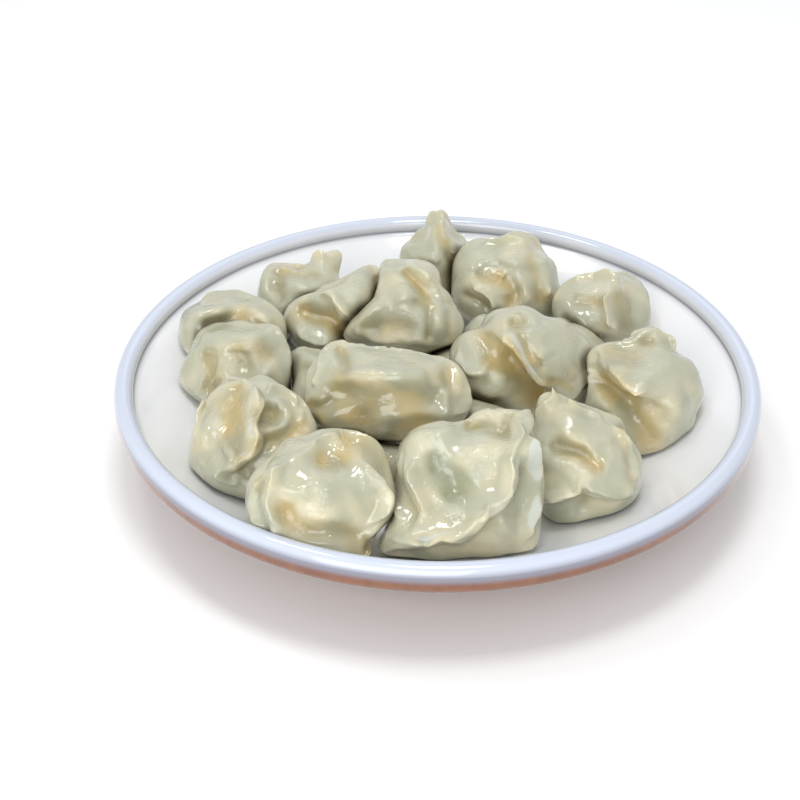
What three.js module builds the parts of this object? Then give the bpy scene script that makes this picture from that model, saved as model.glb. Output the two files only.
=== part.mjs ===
// A bowl of boiled vegetarian dumplings, in millimetres with +Z up.
// The origin is the centre of the foot's underside, and the near side of the heap faces -Y.
import * as THREE from 'three';

// The dish: a round shallow bowl with a rolled rim and a foot ring
const RIM_RADIUS = 115;
const RIM_TOP = 38;
const BEAD_RADIUS = 3.35;
const BEAD_SKIRT = 3.6;
const FLOOR_TOP = 6;
const WALL_RISE = 26.5;
const WALL_POWER = 3;
const WALL_THICKNESS = 4.2;
const FOOT_OUTER = 58;
const FOOT_INNER = 51;
const FOOT_RECESS = 2.2;
const FOOT_CHAMFER = 0.8;
const SKIRT_START = -110;
const BEAD_FINISH = 225;
const RIM_GROOVE = 1.0;
const DISH_STEPS = 56;
const WALL_STEPS = 8;
const WALL_SPREAD = 0.6;
const BEAD_STEPS = 5;

// The dumplings: how finely each is divided, and how thick its wrapper is
const SHOWN_STEPS = 12;
const BURIED_STEPS = 8;
const FILM_THICKNESS = 1.0;
const FILM_FADE = 6;
const SOFTEST_FOLD = 2.8;
const FOLD_FADE = 8;
const WAVE_START = 0.7;
const WAVE_END = 1.2;
const ROUND_SIDE = 0.5;
const PINCHED_SIDE = 0.35;
const PINCH_OUTSIDE = 20;
const PINCH_INSIDE = 15;
const LONGEST_CORNER = 18;

// The clearances in the heap, and how a dumpling is drawn back from the ones around it
const SHOWN_GAP = 1.8;
const BURIED_GAP = 2.4;
const EDGE_GAP = 1.08;
const DISH_GAP = 0.6;
const SHRINK_STEPS = 30;
const HALVINGS = 8;
const PRESS_PASSES = 16;
const PRESS_SHARE = 0.025;

const BEAD_CENTRE = RIM_RADIUS - BEAD_RADIUS;
const BEAD_HEIGHT = RIM_TOP - BEAD_RADIUS;
const WALL_END = RIM_RADIUS - 2 * BEAD_RADIUS;
const DEGREE = Math.PI / 180;

// Height of the dish's inside at a distance from its axis
function dishFloor(radius) {
  return FLOOR_TOP + WALL_RISE * (radius / WALL_END) ** WALL_POWER;
}

// Height of the dish's underside below the same wall
function dishUnderside(radius) {
  const slope = (WALL_POWER * WALL_RISE * radius ** (WALL_POWER - 1)) / WALL_END ** WALL_POWER;
  return dishFloor(radius) - WALL_THICKNESS * Math.hypot(1, slope);
}

// Points of an arc of the rolled rim, from one angle to another, its centre at the given height
function beadArc(height, fromDegrees, toDegrees) {
  const arc = [];
  for (let step = 0; step <= BEAD_STEPS; step += 1) {
    const angle = (fromDegrees + ((toDegrees - fromDegrees) * step) / BEAD_STEPS) * DEGREE;
    const radius = BEAD_CENTRE + BEAD_RADIUS * Math.cos(angle);
    arc.push(new THREE.Vector2(radius, height + BEAD_RADIUS * Math.sin(angle)));
  }
  return arc;
}

// The dish's section, from the axis under the floor, out under the wall, over the rim and back
function dishProfile() {
  const profile = [
    new THREE.Vector2(0, FOOT_RECESS),
    new THREE.Vector2(FOOT_INNER - FOOT_CHAMFER, FOOT_RECESS),
    new THREE.Vector2(FOOT_INNER, 0),
    new THREE.Vector2(FOOT_OUTER, 0),
    new THREE.Vector2(FOOT_OUTER + FOOT_CHAMFER, FOOT_CHAMFER),
  ];
  const wallFoot = FOOT_OUTER + 2 * FOOT_CHAMFER;
  const wallHead = WALL_END - BEAD_RADIUS;
  for (let step = 0; step <= WALL_STEPS / 2; step += 1) {
    const radius = wallFoot + ((wallHead - wallFoot) * step) / (WALL_STEPS / 2);
    profile.push(new THREE.Vector2(radius, dishUnderside(radius)));
  }
  profile.push(...beadArc(BEAD_HEIGHT - BEAD_SKIRT, SKIRT_START, 0));
  profile.push(...beadArc(BEAD_HEIGHT, 0, BEAD_FINISH));
  for (let step = WALL_STEPS; step >= 0; step -= 1) {
    const radius = (WALL_END - RIM_GROOVE) * (step / WALL_STEPS) ** WALL_SPREAD;
    profile.push(new THREE.Vector2(radius, dishFloor(radius)));
  }
  return profile;
}

function makeDish() {
  const geometry = new THREE.LatheGeometry(dishProfile(), DISH_STEPS);
  geometry.rotateX(Math.PI / 2);
  const glaze = new THREE.MeshStandardMaterial({ color: 0xeceef2, roughness: 0.2, metalness: 0 });
  const dish = new THREE.Mesh(geometry, glaze);
  dish.name = 'bowl';
  return dish;
}

// A fold of the wrapper along a chain of points on its face, in millimetres from its centre.
// Its height falls off over `left` and `right` millimetres on the two sides; below 0 it is a crease.
function fold(height, left, right, ...points) {
  return { height, left, right, points };
}

// The dumplings, those on top and in front first, because the later ones give way to them.
// at: centre; face: heading, rise and spin of the broad face in degrees;
// half: reach of the outline to the right, up, left and down; thick: bulge of the face and the back;
// seal: middle and half width of the pinched edge in degrees, counted from the right;
// flange: its width; corners: [degrees, millimetres, width in degrees] that the outline sticks out.
const DUMPLINGS = [
  {
    name: 'front_centre',
    at: [7.2, -74.5, 38.5],
    face: [2, 42, 0],
    half: [27, 20.5, 20, 28],
    thick: [13, 24],
    box: 2.8,
    seal: [-10, 95],
    flange: 5,
    wave: [0.8, 6, 0.4],
    corners: [[47, 8.5, 12], [67, 4.5, 9], [-45, 2, 15], [219, 9.5, 10]],
    folds: [
      fold(4, 6, 2, [18, 22], [18, 8], [17, -2], [13, -8]),
      fold(4, 5, 2, [12, -10], [2, -15], [-10, -18], [-22, -18]),
      fold(-6, 6, 6, [-6, 6], [-1, -2]),
    ],
  },
  {
    name: 'front_centre_left',
    at: [-35.4, -80.5, 39.4],
    face: [-4, 42, 0],
    half: [23, 20, 23.5, 24],
    thick: [13, 24],
    box: 2.4,
    seal: [20, 80],
    flange: 4,
    wave: [0.6, 7, 1.2],
    corners: [[57, 2, 14], [115, -2, 14], [147, -4.5, 16], [-32, -3.5, 14], [-60, 1, 12]],
    folds: [
      fold(-4, 5, 5, [2, 11], [6, 10]),
      fold(-3, 4, 4, [-8, -7], [0, -12], [9, -12]),
      fold(2, 5, 5, [-10, 6], [-8, 1], [-2, 1]),
    ],
  },
  {
    name: 'front_right',
    at: [50, -49, 30],
    face: [8, 42, 0],
    half: [19, 19.5, 18, 22],
    thick: [13, 25],
    box: 2.7,
    seal: [60, 75],
    flange: 3,
    wave: [0.5, 6, 2.0],
    corners: [[116, 7, 15], [60, -2.5, 16], [28, -2.8, 13], [-37, -1.5, 15]],
    folds: [
      fold(3, 6, 2, [-13, -11], [-7, -11], [-2, -9], [4, -12], [14, -12]),
      fold(-3, 4, 4, [-8, 5], [2, 2]),
    ],
  },
  {
    name: 'top_centre',
    at: [-17, -26, 42],
    face: [0, 46, 3],
    half: [27, 15, 28, 17],
    thick: [14, 20],
    box: 3.0,
    seal: [80, 100],
    flange: 2.5,
    wave: [0.5, 5, 0.0],
    corners: [[138, 4, 14], [-5, 2, 18], [238, -3, 14], [-44, -2, 14]],
    folds: [fold(-2.5, 4, 4, [-18, 9], [-14, 14]), fold(-2, 3, 3, [20, 8], [19, -8])],
  },
  {
    name: 'front_left',
    at: [-62, -44, 33],
    face: [-12, 42, 0],
    half: [22, 20.5, 21, 23],
    thick: [12, 25],
    box: 2.3,
    seal: [100, 70],
    flange: 3,
    wave: [0.5, 6, 0.7],
    corners: [[92, 2, 12], [232, 1, 15]],
    folds: [
      fold(6, 5, 1.6, [0, 20], [2, 8], [1, -3], [-6, -8], [-9, -14]),
      fold(-5, 4, 4, [6, 8], [10, 8]),
      fold(-4, 4, 4, [-6, 6], [-9, -4], [-8, -8]),
    ],
  },
  {
    name: 'top_right',
    at: [30, -3, 41],
    face: [6, 43, 0],
    half: [26, 18.5, 25, 20.5],
    thick: [13, 22],
    box: 2.2,
    seal: [-50, 70],
    flange: 4,
    wave: [0.8, 7, 0.5],
    corners: [[140, -4.5, 11], [57, -3.5, 14], [27, -2.5, 14], [-32, 1.5, 14], [218, -2, 14]],
    folds: [
      fold(5, 5, 2, [-8, 8], [-1, 3], [4, -3], [10, -9]),
      fold(-3, 3, 3, [-1, 13], [1, 10]),
    ],
  },
  {
    name: 'top_back',
    at: [-10, 31, 43],
    face: [-5, 46, 0],
    half: [15, 17, 13, 20],
    thick: [13, 22],
    box: 2.4,
    seal: [60, 70],
    flange: 3,
    wave: [0.5, 6, 1.5],
    corners: [[-25, 6, 24], [38, -4, 18], [127, 4, 12], [211, 14, 15], [245, 2, 14]],
    folds: [
      fold(4, 2, 3, [0, 15], [7, 12], [14, 4]),
      fold(-4, 3, 3, [2, 10], [7, 2]),
    ],
  },
  {
    name: 'right',
    at: [74, -9, 32],
    face: [15, 44, 0],
    half: [21, 22, 20, 23],
    thick: [13, 25],
    box: 2.4,
    seal: [110, 60],
    flange: 3,
    wave: [0.5, 6, 0.3],
    corners: [[68, 2, 10], [106, -3, 10], [138, 2, 12], [188, 3, 12], [40, -4, 16], [-32, -3, 14], [-62, -3, 14]],
    folds: [fold(4, 6, 2, [-17, 10], [-8, 3], [-2, -1], [4, -9]), fold(-3, 4, 4, [0, 18])],
  },
  {
    name: 'top_left',
    at: [-38.5, 37.5, 36.5],
    face: [-14, 44, -38],
    half: [21, 9.5, 21, 18],
    thick: [12, 22],
    box: 2.3,
    seal: [60, 60],
    flange: 3,
    wave: [0.5, 6, 0.9],
    corners: [[23, 5, 14], [150, 3, 18]],
    folds: [
      fold(4, 2, 5, [-2, 9], [2, 2], [8, -5]),
      fold(-4, 4, 4, [-6, -1], [2, -4]),
    ],
  },
  {
    name: 'back_centre_right',
    at: [28, 66, 35],
    face: [8, 46, 0],
    half: [19, 18.5, 22, 20],
    thick: [13, 20],
    box: 2.6,
    seal: [90, 60],
    flange: 2.5,
    wave: [0.6, 6, 0.2],
    corners: [[108, -2, 16], [30, -2, 14], [-37, 4, 14], [200, 2, 14]],
    folds: [
      fold(-4, 3.5, 3.5, [-9, 2], [-3, 0]),
      fold(3, 3, 2, [-14, -2], [-8, -6], [-4, -12]),
    ],
  },
  {
    name: 'left',
    at: [-73, 4, 31],
    face: [-20, 46, 0],
    half: [21, 17, 20, 16],
    thick: [12, 22],
    box: 2.5,
    seal: [90, 80],
    flange: 3,
    wave: [0.9, 8, 0.4],
    corners: [[60, 3, 15], [210, 2, 15]],
    folds: [
      fold(3, 3, 4, [-16, 8], [-6, 8], [6, 8], [16, -2]),
      fold(-3, 4, 4, [-10, 0], [-11, -6]),
    ],
  },
  {
    name: 'back_right',
    at: [63, 46, 33],
    face: [14, 46, 0],
    half: [19, 14, 18.5, 15],
    thick: [12, 20],
    box: 2.8,
    seal: [90, 60],
    flange: 2.5,
    wave: [0.6, 6, 0.6],
    corners: [[41, 2, 12]],
    folds: [
      fold(4, 3, 3, [3, 9], [2, 0], [4, -8]),
      fold(-4, 4, 4, [8, 4], [9, -5]),
    ],
  },
  {
    name: 'back_left',
    at: [-54, 57, 34],
    face: [-10, 46, 0],
    half: [16, 9.5, 16, 20],
    thick: [11, 20],
    box: 2.4,
    seal: [90, 60],
    flange: 2.5,
    wave: [0.4, 6, 0.1],
    corners: [[52, 10.5, 17], [148, 3, 14]],
    folds: [fold(-4, 3, 3, [-9, 3], [-8, -3]), fold(-3, 3, 3, [-2, 5], [8, 8])],
  },
  {
    name: 'back_centre',
    at: [-2, 80, 36],
    face: [0, 42, 0],
    half: [15, 12, 13, 18],
    thick: [12, 16],
    box: 2.3,
    seal: [90, 60],
    flange: 2.5,
    wave: [0.4, 6, 0.8],
    corners: [[80, 8.5, 15], [139, -1.5, 14]],
    folds: [fold(3, 3, 3, [2, 12], [3, 4], [8, -4]), fold(-3, 3, 3, [-4, 4], [-5, -4])],
  },
  {
    name: 'left_back',
    at: [-78, 27, 33],
    face: [-22, 46, 0],
    half: [22, 15, 20, 16],
    thick: [12, 20],
    box: 2.5,
    seal: [90, 70],
    flange: 2.5,
    wave: [0.8, 8, 0.9],
    corners: [[153, -2, 14]],
    folds: [fold(3, 3, 4, [-10, -1], [0, 2], [12, 6]), fold(-3, 3, 3, [-6, 6], [4, 8])],
  },
  {
    name: 'under_right',
    at: [49, 24, 27],
    face: [10, 46, 0],
    half: [16, 14, 16, 15],
    thick: [12, 20],
    box: 2.4,
    seal: [60, 60],
    flange: 2.5,
    wave: [0.4, 6, 0.4],
    corners: [[32, -1, 15]],
    folds: [fold(3, 4, 2, [0, 6], [5, -2])],
  },
  {
    name: 'under_left',
    at: [-43, 1, 25],
    face: [-6, 46, 0],
    half: [25, 14, 17, 15],
    thick: [13, 20],
    box: 2.4,
    seal: [90, 60],
    flange: 2.5,
    wave: [0.4, 6, 0.4],
    corners: [[120, 2, 14]],
    folds: [fold(-3, 3, 3, [-5, 3], [-4, 0])],
  },
  {
    name: 'under_back',
    at: [6, 25, 26],
    face: [0, 46, 0],
    half: [27, 16, 28, 17],
    thick: [13, 20],
    box: 2.4,
    seal: [90, 60],
    flange: 2.5,
    wave: [0.4, 6, 0.4],
    corners: [],
    folds: [],
  },
  {
    name: 'under_centre',
    at: [13, -24, 24],
    face: [0, 54, 10],
    half: [20, 17, 19, 16],
    thick: [13, 18],
    box: 2.4,
    seal: [90, 60],
    flange: 2.5,
    wave: [0.4, 6, 0.4],
    corners: [],
    folds: [],
  },
  {
    name: 'under_front',
    at: [-26, -34, 22],
    face: [0, 54, -15],
    half: [22, 18, 22, 20],
    thick: [13, 18],
    box: 2.4,
    seal: [90, 60],
    flange: 2.5,
    wave: [0.4, 6, 0.4],
    corners: [],
    folds: [],
  },
];

function smoothStep(from, to, value) {
  const t = Math.min(Math.max((value - from) / (to - from), 0), 1);
  return t * t * (3 - 2 * t);
}

// Smallest turn between two directions in degrees
function degreesApart(first, second) {
  return Math.abs(((((first - second) % 360) + 540) % 360) - 180);
}

// Reach of the belly and of the whole outline in one direction of the face, and how pinched it is
function outlineAt(dumpling, angle) {
  const across = Math.cos(angle);
  const along = Math.sin(angle);
  const [right, up, left, down] = dumpling.half;
  const reachAcross = across > 0 ? right : left;
  const reachAlong = along > 0 ? up : down;
  const sum =
    Math.abs(across / reachAcross) ** dumpling.box + Math.abs(along / reachAlong) ** dumpling.box;
  let outer = sum ** (-1 / dumpling.box);
  const degrees = angle / DEGREE;
  for (const [at, extra, width] of dumpling.corners) {
    outer += extra * Math.exp(-((degreesApart(degrees, at) / width) ** 2));
  }
  const [middle, halfWidth] = dumpling.seal;
  const turn = degreesApart(degrees, middle);
  const pinch = smoothStep(halfWidth + PINCH_OUTSIDE, halfWidth - PINCH_INSIDE, turn);
  return { outer, belly: outer - dumpling.flange * pinch, pinch };
}

// Distance from a point to a chain of points, and the side of the chain that it lies on
function chainDistance(points, x, z) {
  let best = { distance: Infinity, side: 0 };
  const last = Math.max(points.length - 1, 1);
  for (let index = 0; index < last; index += 1) {
    const [startX, startZ] = points[index];
    const [endX, endZ] = points[Math.min(index + 1, points.length - 1)];
    const stepX = endX - startX;
    const stepZ = endZ - startZ;
    const length = stepX * stepX + stepZ * stepZ;
    const along = length > 0 ? ((x - startX) * stepX + (z - startZ) * stepZ) / length : 0;
    const share = Math.min(Math.max(along, 0), 1);
    const distance = Math.hypot(x - startX - share * stepX, z - startZ - share * stepZ);
    if (distance < best.distance) {
      best = { distance, side: stepX * (z - startZ) - stepZ * (x - startX) };
    }
  }
  return best;
}

// How far the folds raise the face at a point
function foldHeight(folds, x, z) {
  let raised = 0;
  for (const { height, left, right, points } of folds) {
    const { distance, side } = chainDistance(points, x, z);
    const width = Math.max(side > 0 ? left : right, SOFTEST_FOLD);
    raised += height * Math.exp(-((distance / width) ** 2));
  }
  return raised;
}

// The wrapper over one point of the face: its place in the outline (1 at the edge), and how far
// the front and the back lie from the middle plane
function wrapperAt(dumpling, x, z) {
  const angle = Math.atan2(z, x);
  const { outer, belly, pinch } = outlineAt(dumpling, angle);
  const radius = Math.hypot(x, z);
  const place = radius / outer;
  const fullness = Math.max(1 - (radius / belly) ** 2, 0) ** (ROUND_SIDE + PINCHED_SIDE * pinch);
  const film = FILM_THICKNESS * Math.sqrt(Math.max(1 - place ** FILM_FADE, 0));
  const [amplitude, count, phase] = dumpling.wave;
  const edge = smoothStep(WAVE_START, WAVE_END, radius / belly) * pinch;
  const middle = amplitude * edge * Math.sin(count * angle + phase);
  const fade = Math.sqrt(Math.max(1 - place ** FOLD_FADE, 0));
  const [face, back] = dumpling.thick;
  return {
    place,
    front: middle + face * fullness + film + fade * foldHeight(dumpling.folds, x, z),
    back: back * fullness + film - middle,
  };
}

// A square grid's point carried onto the unit disc, without a pole in the middle
function discPoint(column, row, steps) {
  const across = (2 * column) / steps - 1;
  const along = (2 * row) / steps - 1;
  if (across === 0 && along === 0) return [0, 0];
  const wide = Math.abs(across) > Math.abs(along);
  const reach = wide ? across : along;
  const turn = wide ? (Math.PI / 4) * (along / across) : Math.PI / 2 - (Math.PI / 4) * (across / along);
  return [reach * Math.cos(turn), reach * Math.sin(turn)];
}

// Whether a point in the heap is inside the dish or one of the dumplings already placed
function isTaken(point, placed, gap) {
  if (point.z < dishFloor(Math.hypot(point.x, point.y)) + DISH_GAP) return true;
  const local = new THREE.Vector3();
  for (const other of placed) {
    if (point.distanceTo(other.centre) > other.reach) continue;
    local.copy(point).applyMatrix4(other.toLocal);
    const { place, front, back } = wrapperAt(other, local.x, local.z);
    if (place < EDGE_GAP && -local.y < front + gap && local.y < back + gap) return true;
  }
  return false;
}

// Draws a point of the skin back toward the dumpling's centre until it is clear of the others
function makeWay(point, centre, placed, gap) {
  const ray = point.clone().sub(centre);
  const probe = new THREE.Vector3();
  let free = 0;
  for (let step = 1; step <= SHRINK_STEPS; step += 1) {
    const share = step / SHRINK_STEPS;
    if (isTaken(probe.copy(centre).addScaledVector(ray, share), placed, gap)) break;
    free = share;
  }
  if (free === 1) return point;
  let blocked = free + 1 / SHRINK_STEPS;
  for (let halving = 0; halving < HALVINGS; halving += 1) {
    const share = (free + blocked) / 2;
    if (isTaken(probe.copy(centre).addScaledVector(ray, share), placed, gap)) blocked = share;
    else free = share;
  }
  return centre.clone().addScaledVector(ray, free);
}

// The vertices of the front and back sheets of one dumpling in the heap
function skinVertices(dumpling, placed) {
  const vertices = [];
  for (const isFront of [true, false]) {
    for (let row = 0; row <= dumpling.steps; row += 1) {
      for (let column = 0; column <= dumpling.steps; column += 1) {
        const [across, along] = discPoint(column, row, dumpling.steps);
        const spread = Math.hypot(across, along);
        const reach = outlineAt(dumpling, Math.atan2(along, across)).outer;
        const radius = Math.sin((spread * Math.PI) / 2) * reach;
        const x = spread > 0 ? (radius * across) / spread : 0;
        const z = spread > 0 ? (radius * along) / spread : 0;
        const { front, back } = wrapperAt(dumpling, x, z);
        const point = new THREE.Vector3(x, isFront ? -front : back, z);
        point.applyMatrix4(dumpling.toWorld);
        vertices.push(makeWay(point, dumpling.centre, placed, dumpling.gap));
      }
    }
  }
  return vertices;
}

// Number of a vertex in that list; both sheets use the front's vertices on the rim
function vertexNumber(isFront, row, column, steps) {
  const isRim = row === 0 || row === steps || column === 0 || column === steps;
  const sheetStart = isFront || isRim ? 0 : (steps + 1) ** 2;
  return sheetStart + row * (steps + 1) + column;
}

// Triangles of both sheets; each corner cell is cut through its corner
function skinTriangles(steps) {
  const triangles = [];
  for (const isFront of [true, false]) {
    for (let row = 0; row < steps; row += 1) {
      for (let column = 0; column < steps; column += 1) {
        const a = vertexNumber(isFront, row, column, steps);
        const b = vertexNumber(isFront, row, column + 1, steps);
        const c = vertexNumber(isFront, row + 1, column + 1, steps);
        const d = vertexNumber(isFront, row + 1, column, steps);
        const rising = row < steps / 2 === column < steps / 2;
        const pair = rising ? [a, b, c, a, c, d] : [a, b, d, b, c, d];
        triangles.push(...(isFront ? pair : pair.reverse()));
      }
    }
  }
  return triangles;
}

// Whether the middle of a triangle or of one of its edges is inside the dish or another dumpling
function isPressed(corners, placed, gap) {
  const centroid = new THREE.Vector3();
  for (let index = 0; index < 3; index += 1) {
    const middle = corners[index].clone().lerp(corners[(index + 1) % 3], 0.5);
    if (isTaken(middle, placed, gap)) return true;
    centroid.addScaledVector(corners[index], 1 / 3);
  }
  return isTaken(centroid, placed, gap);
}

// Presses in the triangles that still touch the dish or another dumpling between their corners
function pressIn(vertices, triangles, dumpling, placed) {
  for (let pass = 0; pass < PRESS_PASSES; pass += 1) {
    const pressed = new Set();
    for (let first = 0; first < triangles.length; first += 3) {
      const numbers = triangles.slice(first, first + 3);
      const corners = numbers.map((number) => vertices[number]);
      if (isPressed(corners, placed, dumpling.gap)) numbers.forEach((number) => pressed.add(number));
    }
    if (pressed.size === 0) return;
    pressed.forEach((number) => vertices[number].lerp(dumpling.centre, PRESS_SHARE));
  }
}

function makeDumpling(dumpling, placed) {
  const vertices = skinVertices(dumpling, placed);
  const triangles = skinTriangles(dumpling.steps);
  pressIn(vertices, triangles, dumpling, placed);
  const geometry = new THREE.BufferGeometry();
  geometry.setFromPoints(vertices.map((vertex) => vertex.applyMatrix4(dumpling.toLocal)));
  geometry.setIndex(triangles);
  geometry.computeVertexNormals();
  const dough = new THREE.MeshStandardMaterial({ color: 0xcdc6a6, roughness: 0.35, metalness: 0 });
  const mesh = new THREE.Mesh(geometry, dough);
  mesh.name = `dumpling_${dumpling.name}`;
  mesh.position.copy(dumpling.centre);
  mesh.rotation.copy(dumpling.turn);
  return mesh;
}

// Works out where a dumpling's own frame stands: its face is turned, tilted back and spun
function placeDumpling(dumpling) {
  const [heading, rise, spin] = dumpling.face.map((degrees) => degrees * DEGREE);
  dumpling.centre = new THREE.Vector3(...dumpling.at);
  dumpling.turn = new THREE.Euler(-rise, spin, heading, 'ZXY');
  dumpling.toWorld = new THREE.Matrix4().makeRotationFromEuler(dumpling.turn);
  dumpling.toWorld.setPosition(dumpling.centre);
  dumpling.toLocal = dumpling.toWorld.clone().invert();
  dumpling.reach = Math.max(...dumpling.half, ...dumpling.thick) + LONGEST_CORNER;
  const isBuried = dumpling.name.startsWith('under');
  dumpling.steps = isBuried ? BURIED_STEPS : SHOWN_STEPS;
  dumpling.gap = isBuried ? BURIED_GAP : SHOWN_GAP;
}

const bowlOfDumplings = new THREE.Group();
bowlOfDumplings.add(makeDish());
const placed = [];
for (const dumpling of DUMPLINGS) {
  placeDumpling(dumpling);
  bowlOfDumplings.add(makeDumpling(dumpling, placed));
  placed.push(dumpling);
}

export default bowlOfDumplings;
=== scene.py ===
import math
import random

import bmesh
import bpy
import numpy as np
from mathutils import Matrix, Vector
from mathutils.bvhtree import BVHTree
from mathutils.noise import noise as noise_at


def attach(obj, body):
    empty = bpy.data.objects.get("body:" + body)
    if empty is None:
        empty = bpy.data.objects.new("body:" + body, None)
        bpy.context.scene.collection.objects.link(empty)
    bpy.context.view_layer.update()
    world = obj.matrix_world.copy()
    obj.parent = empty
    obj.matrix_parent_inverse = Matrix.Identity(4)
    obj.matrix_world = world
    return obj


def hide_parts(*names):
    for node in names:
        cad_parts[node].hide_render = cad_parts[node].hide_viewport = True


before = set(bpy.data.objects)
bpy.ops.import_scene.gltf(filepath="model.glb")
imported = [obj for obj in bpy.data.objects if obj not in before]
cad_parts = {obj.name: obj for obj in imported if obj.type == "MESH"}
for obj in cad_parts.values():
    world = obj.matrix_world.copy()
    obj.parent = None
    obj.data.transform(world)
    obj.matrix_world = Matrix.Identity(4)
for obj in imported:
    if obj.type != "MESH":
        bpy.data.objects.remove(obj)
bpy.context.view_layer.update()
MM = 0.001

# The camera that the picture was taken with, as measured on the rim's ellipse
CAMERA_PLACE = Vector((0.0, -456.5, 332.4)) * MM
CAMERA_AIM = Vector((-13.0, -6.5, 25.1)) * MM
LENS_MM = 67.98
SENSOR_MM = 36.0

# The bowl's section, in millimetres
RIM_RADIUS = 115.0
RIM_TOP = 38.0
BEAD_RADIUS = 3.35
BEAD_SKIRT = 3.6
FLOOR_TOP = 6.0
WALL_RISE = 26.5
WALL_POWER = 3
WALL_THICKNESS = 4.2
FOOT_OUTER = 58.0
FOOT_INNER = 51.0
FOOT_RECESS = 2.2
FOOT_EDGE = 0.8
BEAD_CENTRE = RIM_RADIUS - BEAD_RADIUS
BEAD_HEIGHT = RIM_TOP - BEAD_RADIUS
WALL_END = RIM_RADIUS - 2 * BEAD_RADIUS
BOWL_STEPS = 256
BEAD_STEPS = 14
WALL_STEPS = 40

# The dumplings: how finely they are divided, and how far they swell toward what they lie against
SKIN_LEVELS = 3
MOST_SWELL = 0.8
SWELL_SHARE = 0.42
SWELL_PASSES = 12
RELAX_PASSES = 12
RELAX_STEP = 0.8

# The folds: over how many millimetres they run out, and the steps between two of their points
TAPER = 3.0
CURVE_STEPS = 5

# The pinched edges: how finely they are divided, how deep their root lies, how much they arch and
# thin out, how far they may lie off their root's depth, and how wide and high they wave
FLAP_STEPS = 36
FLAP_ROWS = 5
FLAP_ROOT = 0.6
FLAP_ARCH = 0.05
FLAP_THINNING = 0.35
FLAP_SLACK = 2.5
FLAP_WAVES = ((11, 0.3), (6.5, 0.16), (4, 0.05))
FLAP_SWING = 23

# How finely each dumpling is made whole with its edges, in millimetres, and how it is smoothed
GRAINS = {
    "front_centre": 0.5,
    "front_centre_left": 0.5,
    "front_left": 0.5,
    "front_right": 0.5,
    "top_centre": 0.5,
    "top_right": 0.5,
    "right": 0.5,
    "top_back": 0.6,
    "top_left": 0.6,
    "left": 0.6,
    "under_right": 0.8,
    "under_back": 0.8,
    "under_left": 0.8,
    "under_centre": 0.9,
    "under_front": 0.9,
}
OTHER_GRAIN = 0.65
MELT_PASSES = 8
MELT_IN = 0.55
MELT_OUT = 0.5
LAST_PASSES = 6
LAST_STEP = 0.5

# The looks kept on the skins: how often each is taken to its neighbours' mean, the depth told where
# a line of sight finds no far side, and the gaps over which painted shade darkens two dumplings that
# nearly touch
DIP_PASSES = (30, 150)
THIN_PASSES = 10
HOLLOW_PASSES = 16
FULL_PASSES = 60
LEVEL_PASSES = 25
CLOSE_PASSES = 4
MOST_DEPTH = 30.0
TOUCHING = 0.3
CLOSE = 4.8

# The soft dents of the skin: how wide and how deep
DENTS = ((11.0, 0.7), (5.0, 0.22))

# The far sides wear the folds of other dumplings, pressed from behind and softer
BACK_EYE = (0.0, 0.4, 0.22)
FAR_SIDE_SHARE = 0.6
BACK_LOOKS = ("right", "top_centre", "back_right", "front_right", "top_back")


def fold(height, left, right, *points, sink=0.0, reach=4.0, lean=0.0, tint=None):
    """A ridge (or below 0 a crease) along a chain of points on a dumpling, in millimetres to the
    right of and above its middle. It falls off over `left` and `right` millimetres on the two
    sides. Beyond its steep side the skin lies `sink` deeper over `reach` millimetres, and the
    ridge leans over that side by a share of its height. A crease gets painted tan shade by its
    depth, where no other tint is given: a share of painted tan shade, or below 0 a share of the
    herbs that show through."""
    return {
        "height": height,
        "left": left,
        "right": right,
        "points": points,
        "sink": sink,
        "reach": reach,
        "lean": lean,
        "tint": max(0.0, -height / 2.8) if tint is None else tint,
    }


def flap(lift, thick, base, edge):
    """A thin pinched edge on a dumpling: the chain it grows from, its free edge, how far that edge
    stands off toward the viewer and how thick it is, in millimetres as in a fold."""
    return {"lift": lift, "thick": thick, "base": base, "edge": edge}
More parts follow.
